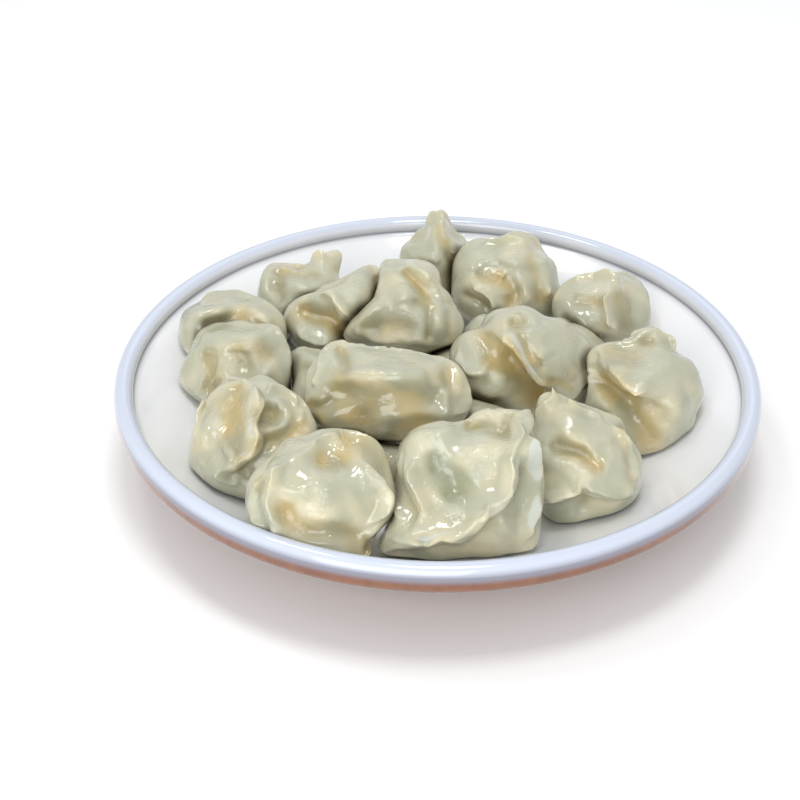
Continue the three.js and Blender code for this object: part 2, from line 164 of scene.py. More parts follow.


# The folds of each dumpling; every crease without a tint of its own gets painted tan shade by its depth
FOLDS = {}
FOLDS["front_centre"] = [
    # lip down the right
    fold(4.5, 0.8, 6, (23, 23.5), (22.5, 18.5), (20, 14), (18.5, 9.5), (17.5, 5.5), (17.5, 2),
         (16.5, -1.5), (15, -5), (13, -8), sink=4, reach=8, lean=0.3),
    # lower curl
    fold(4, 0.8, 5, (13, -8), (9.5, -8.5), (7.5, -10.5), (5.5, -13), (3, -15), (0.5, -16.5),
         (-5, -16), (-9.5, -17.5), (-15.5, -18.5), (-19.5, -18.5),
         (-23.5, -20), sink=4, reach=7, lean=0.3),
    # edge beside the left pocket
    fold(2.5, 5, 0.8, (-16.5, 8.5), (-16, 2.5), (-14, -2.5), (-12.5, -6), (-11.5, -9),
         (-13.5, -11.5), sink=1.5, lean=0.2),
    # outer left rim
    fold(1.5, 1.5, 1.5, (-17.5, 7.5), (-19.5, 2), (-20, -4.5), (-18.5, -11)),
    # dimple high
    fold(-1.8, 2.4, 2.4, (-7.5, 9), (-7, 6), tint=-0.8),
    # its bright edge
    fold(1, 1.2, 1.2, (-12.5, 8), (-10.5, 6.5), (-8.5, 5)),
    # green dimple
    fold(-2.4, 4.2, 4.2, (-1.5, 3), (-0.5, -1), tint=-0.9),
    # rim under it
    fold(1.2, 1.6, 1.6, (-6.5, -1.5), (-4.5, -4.5), (-1.5, -6), (1, -4.5)),
    # bright ridge
    fold(1.4, 3, 1.2, (-2, 9), (1.5, 6), (4.5, 2.5), (7, -1.5)),
    # crease under the back frill
    fold(-2.5, 2, 2, (4, 19.5), (8, 19.5), (11.5, 18), (15, 17)),
    # valley in the frill
    fold(-2, 1.4, 1.4, (16.5, 22.5), (15.5, 20), (14.5, 17.5)),
    # top edge
    fold(1.2, 1.5, 2.5, (-17.5, 14.5), (-12.5, 17), (-7, 17.5), (-1.5, 18.5), (3, 19.5)),
    # right flap's rim
    fold(1.6, 1.2, 2, (25.5, 18), (26.5, 10), (27, 0.5), (26, -7.5), (24, -16), (23, -20)),
    # inner lip
    fold(1.5, 0.8, 2, (14, -8.5), (16.5, -13), (18.5, -17), (20, -20)),
    # greyish standing flap
    fold(0.1, 5, 5, (25, 18), (25.5, 2), (23, -13), tint=-0.6),
    # herbs under the lower curl
    fold(0.1, 1.2, 1.2, (-12.5, -17.5), (-8.5, -17.5), tint=-1.6),
    # bright beads low
    fold(0.8, 2, 2, (-5.5, -11), (-1.5, -11.5), (1, -10.5)),
]
FOLDS["front_centre_left"] = [
    # edge over the left ear
    fold(3, 5, 0.8, (-13.5, 11.5), (-15.5, 7.5), (-16.5, 4.5), (-17.5, 0.5), (-18, -2.5),
         (-17, -6.5), (-15.5, -10), (-14.5, -14.5), sink=2, lean=0.3),
    # ear's rim
    fold(1.4, 1.2, 2, (-18, 7), (-21, 3), (-22.5, -1.5), (-22.5, -5.5), (-21, -9), (-18, -12)),
    # yellow pocket
    fold(-1.8, 2.2, 2.2, (-18.5, 3.5), (-19.5, 1.5)),
    # highlight hook
    fold(1.8, 1.6, 3, (-14, 10), (-14, 7), (-14, 4), (-12.5, 1.5), (-10, 0.5), (-7, 0.5), (-4.5, 2)),
    # top edge
    fold(1.5, 1.4, 2.4, (-12.5, 11), (-9.5, 12), (-6, 13.5), (-3.5, 15), (-1.5, 17), (1.5, 18.5),
         (4.5, 18.5)),
    # crease between the lobes
    fold(-1.8, 1.6, 1.6, (5.5, 20.5), (6.5, 18), (8.5, 15.5)),
    # tan dimple
    fold(-2.8, 3.2, 3.2, (0.5, 10), (5, 10)),
    # filling bump
    fold(1.2, 4.5, 4.5, (0, 2.5), (1.5, 0.5), tint=-0.45),
    # right ridge
    fold(2.2, 1.6, 4, (11, 11.5), (13.5, 8.5), (16, 4), (18.5, 1), (21, -2)),
    # flange down right
    fold(2.6, 1, 3.5, (22.5, -2.5), (21, -5.5), (19.5, -8.5), (17, -11.5), (14, -14), (12, -17),
         (11, -20.5), sink=1.5, lean=0.2),
    # valley
    fold(-2, 3, 3.6, (-11, -5), (-10, -7.5), (-7.5, -10), (-3.5, -11.5), (1.5, -11.5),
         (6.5, -11.5), (10, -13.5), (11.5, -17)),
    # brow over the valley
    fold(1.6, 2.4, 1.2, (-7, -6.5), (-2, -8), (3, -8.5), (7.5, -9), (11.5, -10)),
    # notch
    fold(-1.6, 1.2, 1.2, (14, -14.5), (14.5, -17), (15, -20.5)),
    # shade under the top
    fold(-0.6, 4, 4, (13, 15.5), (17, 13.5), (19, 10.5), tint=0.8),
]
FOLDS["front_left"] = [
    # thick flange
    fold(4.5, 0.8, 4, (-2.5, 20.5), (0, 18), (1.5, 14.5), (2, 12), (0.5, 9), (0, 5), (0.5, 2.5),
         (2, 0.5), (1.5, -2.5), (-0.5, -4.5), (-2.5, -5.5), (-4.5, -7), (-6.5, -8.5),
         (-9, -10), sink=2, reach=4, lean=0.3),
    # flange's left foot
    fold(-2, 2.2, 3, (-4, 16), (-5.5, 11), (-5.5, 5.5), (-5.5, 0.5), (-4.5, -3.5)),
    # tan spot
    fold(-1.6, 2.4, 2.4, (-4.5, 15.5), (-5.5, 13.5), tint=0.8),
    # left hollow
    fold(-1.8, 3.4, 3.4, (-9.5, 11.5), (-7, 7.5), (-6.5, 2.5)),
    # step beside the dark dimple
    fold(2.6, 2.5, 0.8, (-10.5, -0.5), (-9, -3), (-7.5, -5.5), (-7, -7.5), sink=2.5, lean=0.1),
    # left roll
    fold(1.2, 3, 3, (-15, 11), (-16, 4), (-15, -2.5), (-13, -9)),
    # pit
    fold(-3.5, 3, 3, (3, 8.5), (5.5, 9)),
    # ring round the pit
    fold(2.2, 1.8, 1.8, (7.5, 14.5), (10.5, 12), (12, 9), (11.5, 6.5), (9, 4.5), (5.5, 3.5),
         (3, 4.5)),
    # small blister
    fold(0.9, 0.8, 0.8, (15.5, 11), (17, 9), (16.5, 6.5), (15, 6)),
    # tan band
    fold(-2.4, 3, 3, (2.5, -1.5), (6.5, -0.5), (12, 1), (16, 4.5)),
    # lower pocket
    fold(-2, 2.6, 2.6, (-3.5, -9), (-1.5, -11)),
    # lower roll
    fold(1.2, 3, 3, (-1.5, -15), (0.5, -19.5)),
]
FOLDS["front_right"] = [
    # upper ridge
    fold(1.8, 3.5, 2, (-8.5, 11.5), (-6, 9.5), (-3, 7.5), (1, 5.5), (2.5, 3), (4.5, 1), (7, -0.5),
         (9.5, -1.5)),
    # loop
    fold(1.4, 1.6, 1.6, (2.5, 7.5), (5.5, 7.5), (8.5, 7), (9.5, 4.5), (9.5, 1.5), (8.5, -0.5)),
    # valley under the ridge
    fold(-2.8, 2.4, 2.8, (-9.5, 5.5), (-5.5, 4), (-1.5, 3.5), (1.5, 1.5), (4.5, -1)),
    # shiny shoulder
    fold(1.6, 3, 3, (-14, -2.5), (-11, 0), (-7.5, 1), (-3.5, 0.5), (-0.5, -1.5)),
    # overhang left
    fold(3, 5, 0.8, (-15.5, -13), (-12.5, -12.5), (-9.5, -12.5), (-6.5, -11.5), (-3.5, -10),
         (-1, -8.5), sink=4, reach=7, lean=0.25),
    # overhang right
    fold(2.4, 5, 0.8, (-0.5, -8.5), (2, -10), (5, -11), (8.5, -11.5), (12.5, -10.5),
         (16.5, -9.5), sink=3.5, reach=7, lean=0.25),
    # right bulge
    fold(1.4, 3.4, 3.4, (2.5, -3.5), (5.5, -5)),
    # flange line
    fold(-1.4, 1, 1.4, (12.5, 12), (13.5, 8), (14, 4), (14.5, -0.5), (15.5, -4.5), (16.5, -8.5)),
    # flange rim
    fold(1.2, 1.4, 1.4, (14.5, 8), (17.5, 3.5), (18, -0.5), (17, -5.5)),
    # top gloss fold
    fold(1.2, 2, 2, (-6.5, 17.5), (-4, 15.5), (-1, 14)),
    # top gloss fold right
    fold(0.8, 1.6, 1.6, (3.5, 12.5), (5.5, 12.5), (7, 14)),
    # left ear tip
    fold(1.8, 2, 2, (-10.5, 24.5), (-11.5, 22), (-14, 19)),
]
FOLDS["top_centre"] = [
    # flat top
    fold(-1.8, 5, 5, (-12, 12.5), (-4, 13), (5, 13), (13, 12), tint=0),
    # flat front
    fold(-2.0, 6.5, 6.5, (-14, -2.5), (0, -3.5), (13, -3.5), tint=0.8),
    # right edge
    fold(1.8, 2.6, 3.2, (17, 13.5), (22, 10), (25, 4), (24.5, -3)),
    # edge between top and front
    fold(2.8, 3, 4.5, (-19, 7), (-14.5, 6), (-10.5, 6), (-6, 6), (-1.5, 6), (2.5, 6), (7.5, 5),
         (14.5, 6)),
    # left lobe's crease
    fold(-2.6, 1.8, 1.8, (-16, 13.5), (-14.5, 11), (-14, 8.5), (-15.5, 7)),
    # left lobe
    fold(1.8, 4, 4, (-21.5, 13.5), (-20.5, 10), (-21, 7)),
    # tan dimple
    fold(-2.6, 3.4, 3.4, (-17.5, -0.5), (-14, -1)),
    # left crease
    fold(-2.2, 1.6, 2.6, (-26, -4.5), (-22.5, -5), (-19, -3.5)),
    # lower hollow
    fold(-1.2, 4, 4, (-21.5, -7), (-15, -7), (-7.5, -8.5), tint=0.5),
    # right dark dimple
    fold(-2.6, 2.8, 2.8, (16.5, -1.5), (15, -4), tint=-0.7),
    # right tan spot
    fold(-1.6, 3, 3, (21.5, 6), (22.5, 2.5)),
    # right rib
    fold(1.8, 1.6, 2, (20, 1), (20.5, -3), (21.5, -7.5), (22, -10.5)),
    # light patch
    fold(1.2, 3, 3, (16, -7), (19, -8.5)),
    # low diagonal
    fold(-1.2, 3.2, 2.2, (14.5, -10), (8, -11.5), (2.5, -13.5), tint=0.5),
    # brow of it
    fold(0.7, 2, 2.6, (13.5, -7), (7.5, -8), (0.5, -10)),
]
FOLDS["top_right"] = [
    # flange
    fold(4.2, 3, 0.8, (-8.5, 9), (-4.5, 8), (-2, 5.5), (-0.5, 2.5), (1.5, -0.5), (3.5, -3),
         (6, -6), (8.5, -8), (10.5, -10.5), (9.5, -13), (8.5, -15.5), sink=3, reach=5, lean=0.3),
    # groove above the flange
    fold(-1.8, 1.4, 1.4, (0, 8.5), (2, 5.5), (4, 1.5), (7, -2.5)),
    # left lobe's rim
    fold(2, 0.8, 3.5, (-11.5, -4), (-14, -5.5), (-16.5, -6), (-19.5, -5),
         (-22, -2.5), sink=1.6, lean=0.2),
    # tan hollow in the lobe
    fold(-2.4, 3.6, 3.6, (-13, 6.5), (-11.5, 3), (-11, 0.5)),
    # deep shadow
    fold(-4.5, 5, 5, (-4, -0.5), (-0.5, -4), (2.5, -8), (5.5, -11.5)),
    # belly
    fold(2.4, 5, 5, (-14, -8.5), (-10.5, -10.5), (-7.5, -13)),
    # herbs under the belly's edge
    fold(-0.8, 2.6, 2.2, (-12, -8), (-9.5, -9.5), tint=-0.7),
    # belly's bright edge
    fold(1.4, 1.6, 1.6, (-11.5, -4), (-8.5, -4.5), (-6, -6), (-3.5, -7.5)),
    # crater
    fold(-2.6, 2, 2, (-2, 13), (-0.5, 13)),
    # crater's ring
    fold(1.6, 1.6, 1.6, (-5.5, 12), (-5.5, 14.5), (-3, 16.5), (0, 17), (3, 15.5), (4.5, 13),
         (3.5, 10.5), (1.5, 10)),
    # sparkling bump
    fold(1.4, 2.6, 2.6, (4.5, 10.5), (7, 9.5), (8.5, 7)),
    # dome
    fold(1.4, 4.5, 4.5, (8.5, 4.5), (10.5, 1)),
    # frill lump left
    fold(1.4, 1.6, 1.6, (14, -10), (16.5, -11.5), (19.5, -13)),
    # frill lump right
    fold(1.6, 1.8, 1.8, (21, -10.5), (23, -7.5), (24, -5.5)),
    # frill groove
    fold(-1.6, 1.2, 1.2, (11, -7.5), (14.5, -8.5), (18, -10.5)),
]
FOLDS["top_back"] = [
    # rope ridge
    fold(3, 1.6, 1.4, (-3, 15.5), (0.5, 14.5), (3.5, 12.5), (6.5, 9.5), (9.5, 6.5), (12.5, 3.5),
         (15, 0.5)),
    # groove beside the rope
    fold(-2.6, 1.4, 1.6, (-2, 12), (1, 9), (3.5, 5), (6, 2)),
    # dark pocket
    fold(-2.2, 1.8, 1.8, (2, 0.5), (5, -0.5), (7.5, -1)),
    # gloss
    fold(1.8, 4, 4, (-5, 8), (-3.5, 4.5), (-2.5, 0)),
    # left edge
    fold(1.8, 3, 1.2, (-11, 4.5), (-14, 0), (-18, -5), (-22.5, -10)),
    # belly hollow
    fold(-2, 4, 4, (-17, -10), (-9.5, -8.5), (-2, -9.5)),
    # fold
    fold(-1.8, 1.4, 1.4, (6.5, -3), (7, -7.5), (6.5, -12.5)),
    # fold at the right
    fold(-1.6, 1.4, 1.4, (14, -3), (14, -7.5), (14, -12)),
    # roll between them
    fold(1.2, 2.2, 2.2, (10, -3.5), (10.5, -8), (10, -12.5)),
    # lower lip
    fold(1.6, 3, 1, (-21.5, -12.5), (-15, -13.5), (-7.5, -13.5), (0, -14), (7.5, -15.5), sink=1.2),
]
FOLDS["right"] = [
    # diagonal edge
    fold(3.2, 6, 0.9, (-15.5, 11.5), (-14.5, 9), (-12.5, 7), (-10, 4.5), (-7, 2), (-3, 0),
         (0.5, -2), sink=3.5, reach=7, lean=0.2),
    # gloss
    fold(1.4, 3, 3, (-3, 5.5), (0, 3), (3, -0.5)),
    # dark hollow
    fold(-3, 4.5, 4.5, (-13, 2.5), (-9.5, -1), (-6, -5.5), (-2.5, -11), (1, -16)),
    # left wing
    fold(1.6, 3, 3, (-19.5, 2), (-16, -2.5), (-11.5, -7)),
    # ear's dimple
    fold(-2.6, 1.8, 1.8, (-0.5, 18), (2, 18)),
    # ear's rim
    fold(1.8, 2, 2, (-1, 21), (3, 22), (7.5, 21.5), (10.5, 19.5), (11.5, 16.5)),
    # tan dip
    fold(-2, 3.6, 3.6, (-11.5, 13.5), (-9, 13), (-5, 11.5)),
    # small corner
    fold(1.2, 1.8, 1.8, (-17.5, 15.5), (-15.5, 14)),
    # upper swell
    fold(1.2, 5, 5, (6, 11), (9.5, 7)),
    # shallow dent
    fold(-1.2, 4, 4, (4.5, -4.5), (7.5, -8)),
    # lower swell
    fold(1.4, 5, 5, (10.5, -3), (9, -10.5)),
]
FOLDS["top_left"] = [
    # flange
    fold(3, 3, 1.2, (-7.5, 6.5), (-4.5, 6.5), (-1.5, 4), (1, -0.5), (3, -4), (5.5, -7), sink=1.8),
    # dark hollow
    fold(-3.6, 3, 3, (-12, -1), (-8.5, -2.5), (-3.5, -4), (1, -7)),
    # lower lip
    fold(2, 2.6, 2.6, (-17, -8.5), (-12, -10.5), (-6.5, -12), (-0.5, -13)),
    # gloss
    fold(1.8, 3.6, 3.6, (8.5, 10), (7.5, 5.5), (7, 1)),
    # seam by the next
    fold(-2.2, 1.2, 1.2, (15.5, 11.5), (16, 7.5), (15.5, 3)),
    # tan dip
    fold(-1.6, 2.6, 2.6, (13.5, 14.5), (15, 12)),
    # top ridge
    fold(1.2, 1.8, 1.8, (-2, 8.5), (3, 11), (6.5, 14.5), (9.5, 17.5)),
]
FOLDS["back_centre_right"] = [
    # dark dimple
    fold(-3.2, 2.6, 2.6, (-10.5, 1.5), (-5.5, 0.5)),
    # finger ridge
    fold(2.6, 1.8, 1.8, (-16, -3), (-11, -3.5), (-7, -6), (-4, -10), (-2.5, -13.5)),
    # groove under it
    fold(-2, 1.6, 1.6, (-16.5, -6.5), (-12, -8.5), (-8.5, -11.5)),
    # crown
    fold(1.4, 4, 4, (-3, 10.5), (5, 10.5)),
    # brow under the crown
    fold(1.6, 2.2, 2.2, (-12, 6), (-5, 7.5), (3, 6), (11, 5)),
    # notches of the crown
    fold(-1.6, 1.8, 1.8, (-6.5, 10), (-5.5, 14), tint=0.2),
    fold(-1.4, 1.8, 1.8, (9, 9), (10.5, 13), tint=0.2),
    # olive patch
    fold(-2.6, 3, 3, (-0.5, -2), (2, -5.5), (1, -9)),
    # roll beside it
    fold(1.4, 2.2, 2.2, (6, -1), (7, -6), (9, -11)),
    # low tan patch
    fold(-1.4, 2.6, 2.6, (15, -8), (17, -13)),
    # right fold
    fold(-1.6, 2.4, 2.4, (8.5, 6.5), (11, -0.5), (12, -8.5)),
    # right roll
    fold(1.2, 2.6, 2.6, (14.5, 4.5), (16, -2.5), (16.5, -10.5)),
]
FOLDS["left"] = [
    # light ridge
    fold(2.2, 2, 3, (-17, 6.5), (-11.5, 7.5), (-5.5, 8), (1, 8), (7, 7.5), (10.5, 6)),
    # tan hollow
    fold(-2.4, 3.4, 3.4, (1, 6), (4, 1)),
    # left hollow
    fold(-2.8, 3.6, 2, (-11, 4), (-9.5, -1.5), (-10.5, -7.5)),
    # right hollow
    fold(-2, 2.8, 2.8, (9.5, 8), (12.5, 5.5)),
    # pale lump at the right
    fold(1.8, 3, 3, (9, -1), (12, -5)),
    # roll between
    fold(1.6, 2.4, 2.4, (-6, 3), (-5, -1.5), (-3.5, -6)),
    # lower roll
    fold(1.2, 2.6, 2.6, (3.5, -3.5), (8.5, -3), (13.5, -0.5)),
]
FOLDS["back_right"] = [
    # ridge
    fold(2.2, 2, 2, (2, 7.5), (1.5, 2), (2.5, -3.5), (5, -9)),
    # hollow right
    fold(-2.8, 3, 3, (7.5, 4), (8.5, -0.5), (9.5, -6)),
    # tan dip
    fold(-2, 2.6, 2.6, (-9.5, 3.5), (-4.5, 3), (-1.5, 2.5)),
    # top edge
    fold(1.4, 1.8, 2.4, (-11, 10.5), (-4, 11.5), (3, 12.5), (9.5, 11.5)),
    # left roll
    fold(1.2, 3, 3, (-11.5, -0.5), (-7.5, -5), (-4, -9.5)),
]
FOLDS["back_left"] = [
    # tan band upright
    fold(-2.4, 2.2, 2.2, (-8.5, 6), (-8.5, 1), (-8, -3.5)),
    # tan band across
    fold(-2, 2.2, 2.2, (-5, 6), (0.5, 5.5), (6, 4.5)),
    # left roll
    fold(1.6, 2.2, 2.2, (-13, 6), (-14, 1), (-14, -3)),
    # middle roll
    fold(1.6, 2.6, 2.6, (-3.5, 1), (2, 0), (7.5, -1)),
    # tip
    fold(1.2, 2, 2, (8.5, 12), (10.5, 15)),
]
FOLDS["back_centre"] = [
    # tip
    fold(1.6, 1.8, 1.8, (-5.5, 9.5), (-1, 14.5), (3, 18)),
    # fold
    fold(-1.8, 1.8, 1.8, (2, 12), (3, 6.5), (5.5, 1)),
    # left roll
    fold(1.4, 2.6, 2.6, (-8.5, 2.5), (-5.5, -2.5)),
    # right lump
    fold(2.0, 3.6, 3.6, (9, 4), (11.5, -2)),
    # crease beside it
    fold(-1.8, 1.6, 1.6, (6, 6), (6.5, 0), (8, -6)),
    # low tan patch
    fold(-1.8, 3, 3, (5, -8), (9, -12)),
    # facet left
    fold(-1.2, 3, 3, (-7, 6), (-8, 1), tint=0.1),
]
FOLDS["left_back"] = [
    # upper fold
    fold(2, 2, 3, (-14, 6), (-8.5, 7), (-2.5, 9), (3.5, 12)),
    # hollow under it
    fold(-2.4, 2.8, 2.8, (-8, 2.5), (-2, 4), (4, 5.5)),
    # right fold
    fold(1.6, 2, 2, (8, 9), (12.5, 6), (16, 1.5)),
    # left roll
    fold(1.2, 2.6, 2.6, (-14.5, 0), (-9.5, -2.5), (-3.5, -3)),
    # right dip
    fold(-1.8, 2.4, 2.4, (8.5, 2.5), (12.5, -1)),
]
FOLDS["under_right"] = [
    # fold
    fold(1.8, 1.6, 2.4, (-2.5, 5.5), (1, 2.5), (4, -1), (7, -4)),
    # dip
    fold(-1.8, 2.4, 2.4, (-4, 1), (-1, -2.5)),
]
FOLDS["under_left"] = [
    # tan-green dimple
    fold(-2.4, 2.6, 2.6, (-4, 6.5), (-2, 3.5)),
    # rim
    fold(1.4, 1.8, 1.8, (-6, 10), (-2, 10), (2, 8)),
]
FOLDS["under_back"] = [
    # edge
    fold(1.4, 1.6, 1.6, (-7, 12), (-1.5, 12), (4.5, 12)),
]

# The pinched edges of each dumpling
FLAPS = {}
FLAPS["front_centre"] = [
    # lip down the right side
    flap(2.8, 2.2,
         ((17.5, 21.5), (16, 17.5), (14.5, 13.5), (13, 10), (12.5, 7), (12.5, 3.5), (12, 0.5),
          (11, -2.5), (9.5, -4), (7.5, -6)),
         ((22.5, 22.5), (21.5, 18), (20, 14), (18.5, 10.5), (17.5, 7.5), (17.5, 4), (17.5, 1),
          (17.5, -2), (16, -4.5), (14, -7))),
    # lip curled along the bottom
    flap(3, 2.4,
         ((9.5, -4), (7, -6.5), (4, -9), (1, -11.5), (-2.5, -13), (-7, -13), (-11, -14),
          (-15, -14.5), (-19, -14), (-22.5, -14)),
         ((13.5, -7.5), (9.5, -8.5), (7, -10.5), (5, -13), (2.5, -15.5), (-1.5, -17), (-6, -16.5),
          (-10, -18), (-16, -18.5), (-20.5, -17.5), (-25, -19.5))),
    # edge of the left pocket
    flap(2.6, 2,
         ((-12.5, 9), (-11, 4.5), (-9.5, 0), (-7.5, -4.5), (-7, -8.5)),
         ((-16.5, 7.5), (-16, 2.5), (-14, -2), (-12.5, -6), (-12, -9.5))),
    # outer edge of the left pocket
    flap(1.6, 1.8,
         ((-17.5, 11), (-17.5, 5), (-17.5, -0.5), (-17, -6), (-16, -10.5)),
         ((-19.5, 10), (-20.5, 4.5), (-21, -1.5), (-20.5, -7), (-18, -12))),
    # flap standing at the right
    flap(0.8, 1.7,
         ((18.5, 17.5), (19.5, 10), (19.5, 2), (19.5, -6), (18.5, -13.5), (17.5, -20)),
         ((25, 20), (27, 11.5), (27.5, 3), (27, -6), (25, -13.5), (23.5, -20.5))),
    # lobe standing behind the top
    flap(-1, 2.2,
         ((3, 20), (6, 19.5), (9.5, 19), (13, 19.5), (16, 21)),
         ((3, 22.5), (6, 24.5), (9.5, 25.5), (13, 24.5), (16, 22.5))),
    # second lobe behind the top
    flap(-0.5, 2.2,
         ((15.5, 20), (18, 20.5), (21, 21.5), (23.5, 22)),
         ((16, 22.5), (18.5, 24), (21.5, 25), (24.5, 25))),
]
FLAPS["front_centre_left"] = [
    # flange down the right
    flap(2.6, 2.2,
         ((9, 11.5), (11.5, 8), (14, 4), (16, 0.5), (17, -3.5), (15, -7), (12.5, -10)),
         ((13, 12), (17, 8.5), (20, 4), (22.5, -1), (21, -5), (19, -8.5), (15.5, -11.5))),
    # edge over the left ear
    flap(3, 2.2,
         ((-10, 10), (-11.5, 5.5), (-12.5, 1.5), (-13.5, -2.5), (-12.5, -7), (-11, -11.5)),
         ((-12.5, 11), (-15.5, 7.5), (-16, 4), (-17, 0.5), (-18.5, -2.5), (-17, -6.5), (-15, -11))),
    # left ear
    flap(1.6, 2,
         ((-14.5, 8.5), (-17.5, 4), (-19.5, 0), (-20, -4), (-19, -7.5), (-16.5, -11.5)),
         ((-16, 9), (-20.5, 5), (-22.5, 0.5), (-23.5, -3.5), (-22.5, -8), (-19.5, -12))),
    # lobe at the top
    flap(1.6, 2.4,
         ((-2, 14.5), (0.5, 16), (4, 16), (6.5, 15.5)),
         ((-3, 16.5), (0, 19), (3.5, 19.5), (6.5, 18.5))),
]
FLAPS["front_left"] = [
    # flange across the middle
    flap(3.2, 2.4,
         ((-4.5, 20), (-2.5, 17), (-1.5, 14), (-1.5, 10.5), (-2.5, 7.5), (-3, 4), (-2, 1.5),
          (-2.5, -1.5), (-4, -3.5), (-6.5, -5.5), (-9, -7.5), (-11, -10)),
         ((-2.5, 22), (1.5, 20), (3.5, 17), (4.5, 13.5), (3, 10), (1, 7.5), (0.5, 4.5), (2, 1.5),
          (2, -1.5), (0, -4.5), (-3.5, -6), (-6, -9), (-9, -12))),
    # edge of the left leaf
    flap(2.4, 1.8,
         ((-8, 2.5), (-6, -0.5), (-4.5, -3.5), (-4.5, -6.5)),
         ((-11, 0), (-9, -2.5), (-7, -5.5), (-7.5, -8.5))),
    # lip at the bottom left
    flap(2, 2,
         ((-12, -9), (-9, -11), (-6.5, -12), (-3.5, -11.5)),
         ((-14, -11.5), (-11, -14), (-7.5, -15.5), (-4, -14))),
    # lobe at the top right
    flap(1.6, 2.2,
         ((5.5, 15), (9, 15.5), (12.5, 13.5), (14.5, 9.5)),
         ((4, 18), (9, 19.5), (14, 17), (17, 13))),
    # left edge
    flap(1.6, 2,
         ((-15, 13.5), (-16.5, 7.5), (-17.5, 1.5), (-17, -4.5), (-14.5, -9.5)),
         ((-17, 14), (-19, 7.5), (-20, 0.5), (-19, -5.5), (-16.5, -11))),
]
FLAPS["front_right"] = [
    # left part of the overhang
    flap(2.8, 2.8,
         ((-14.5, -7), (-11, -7.5), (-7.5, -7), (-4, -5.5), (-1.5, -4)),
         ((-15.5, -13), (-11, -13), (-6.5, -12.5), (-3.5, -11), (-0.5, -8.5))),
    # right part of the overhang
    flap(2.6, 2.8,
         ((-1.5, -4.5), (2, -6), (5.5, -6.5), (9.5, -6.5), (13.5, -5.5), (15.5, -2.5)),
         ((-0.5, -9), (2.5, -10.5), (6, -11.5), (10, -12), (14, -11), (17.5, -7.5))),
    # ear at the top left
    flap(1.4, 2,
         ((-16.5, 13.5), (-13.5, 15.5), (-10.5, 17.5), (-7.5, 19.5)),
         ((-18.5, 16.5), (-14.5, 19.5), (-12, 21.5), (-11, 26), (-8.5, 26))),
    # flange at the right
    flap(1, 1.8,
         ((8.5, 12.5), (10.5, 8.5), (12.5, 4.5), (14, 0.5), (14.5, -4), (14.5, -7.5)),
         ((11, 14), (14.5, 9.5), (17, 5.5), (18.5, 1), (19, -3.5), (18, -7.5))),
    # top edge
    flap(0.8, 2,
         ((-6.5, 18.5), (-2.5, 16.5), (1.5, 15), (5.5, 13.5)),
         ((-7.5, 22.5), (-2.5, 20), (2.5, 17.5), (7.5, 16))),
]
FLAPS["top_right"] = [
    # strip across the middle
    flap(3.2, 2.4,
         ((-4.5, 10), (-1.5, 6.5), (1.5, 2.5), (4, -1), (6.5, -4), (10, -7), (12.5, -9.5)),
         ((-9, 9), (-5.5, 6.5), (-2, 3), (0.5, -0.5), (3, -4.5), (6.5, -8), (9.5, -10.5),
          (9.5, -14))),
    # lower rim of the left lobe
    flap(2.4, 2.6,
         ((-22, 6), (-20.5, 1.5), (-17.5, -0.5), (-14, -0.5), (-10.5, 0.5)),
         ((-24.5, 3), (-22.5, -2), (-19, -5.5), (-14.5, -5.5), (-10.5, -3.5))),
    # frill at the right
    flap(1.6, 2,
         ((11.5, -5.5), (14, -7), (17.5, -7.5), (20.5, -5.5), (21.5, -2)),
         ((10.5, -10), (13, -13), (16.5, -14), (20.5, -13), (23, -9.5), (25.5, -6), (25.5, -2.5))),
    # crater's upper edge
    flap(1.6, 2,
         ((-3.5, 14), (-2, 12.5), (0.5, 11.5), (3, 13)),
         ((-5.5, 14.5), (-3, 16.5), (0.5, 17), (4, 15.5))),
]
FLAPS["right"] = [
    # diagonal edge
    flap(2.8, 2.2,
         ((-11.5, 14), (-8, 10.5), (-4.5, 7), (-1, 3.5), (2.5, 0.5)),
         ((-15, 13), (-13.5, 9.5), (-10.5, 5.5), (-7.5, 2), (-3.5, -0.5), (0.5, -2.5))),
    # ear at the top
    flap(0.8, 2.2,
         ((-13, 14.5), (-9.5, 15.5), (-5, 15.5), (-0.5, 17.5), (4, 19), (8, 18), (10.5, 14.5)),
         ((-15.5, 17), (-11, 18.5), (-5.5, 18), (-1, 21), (4.5, 22.5), (9.5, 21.5), (13, 16.5))),
]
FLAPS["top_centre"] = [
    # flap behind at the right
    flap(-1.5, 2.2,
         ((24, 2.5), (23.5, -1.5), (23, -5.5), (21.5, -8.5)),
         ((27, 4), (29, -0.5), (29.5, -5), (26, -9.5))),
    # left lobe
    flap(1.6, 2.2,
         ((-20, 13.5), (-20.5, 9.5), (-22, 5), (-23.5, 1)),
         ((-22.5, 15), (-24.5, 10.5), (-26, 5.5), (-26.5, 1))),
]
FLAPS["top_back"] = [
    # rope along the top
    flap(2.6, 2.6,
         ((-6, 12.5), (-2, 12.5), (1, 9.5), (4, 6.5), (7.5, 2.5), (10.5, -0.5)),
         ((-4, 15.5), (0.5, 15), (4, 12), (8, 8), (11.5, 3.5), (15, 0))),
    # lower lip
    flap(2.2, 2.6,
         ((-22.5, -6.5), (-17, -8), (-11, -9), (-5, -9), (1.5, -10.5)),
         ((-24, -11), (-18, -12.5), (-11, -14), (-3.5, -15), (3, -15.5))),
]
FLAPS["top_left"] = [
    # flange
    flap(2.6, 2.2,
         ((-5, 10), (-1, 8.5), (2.5, 5.5), (5.5, 2), (8.5, -2.5)),
         ((-8, 6), (-4, 5.5), (-0.5, 3), (2.5, -0.5), (5.5, -5), (6.5, -8.5))),
    # lower lip
    flap(2, 2.4,
         ((-15.5, -5.5), (-11, -8), (-5.5, -9.5), (-0.5, -10)),
         ((-17, -9), (-12, -12), (-6, -13.5), (0, -13.5))),
]
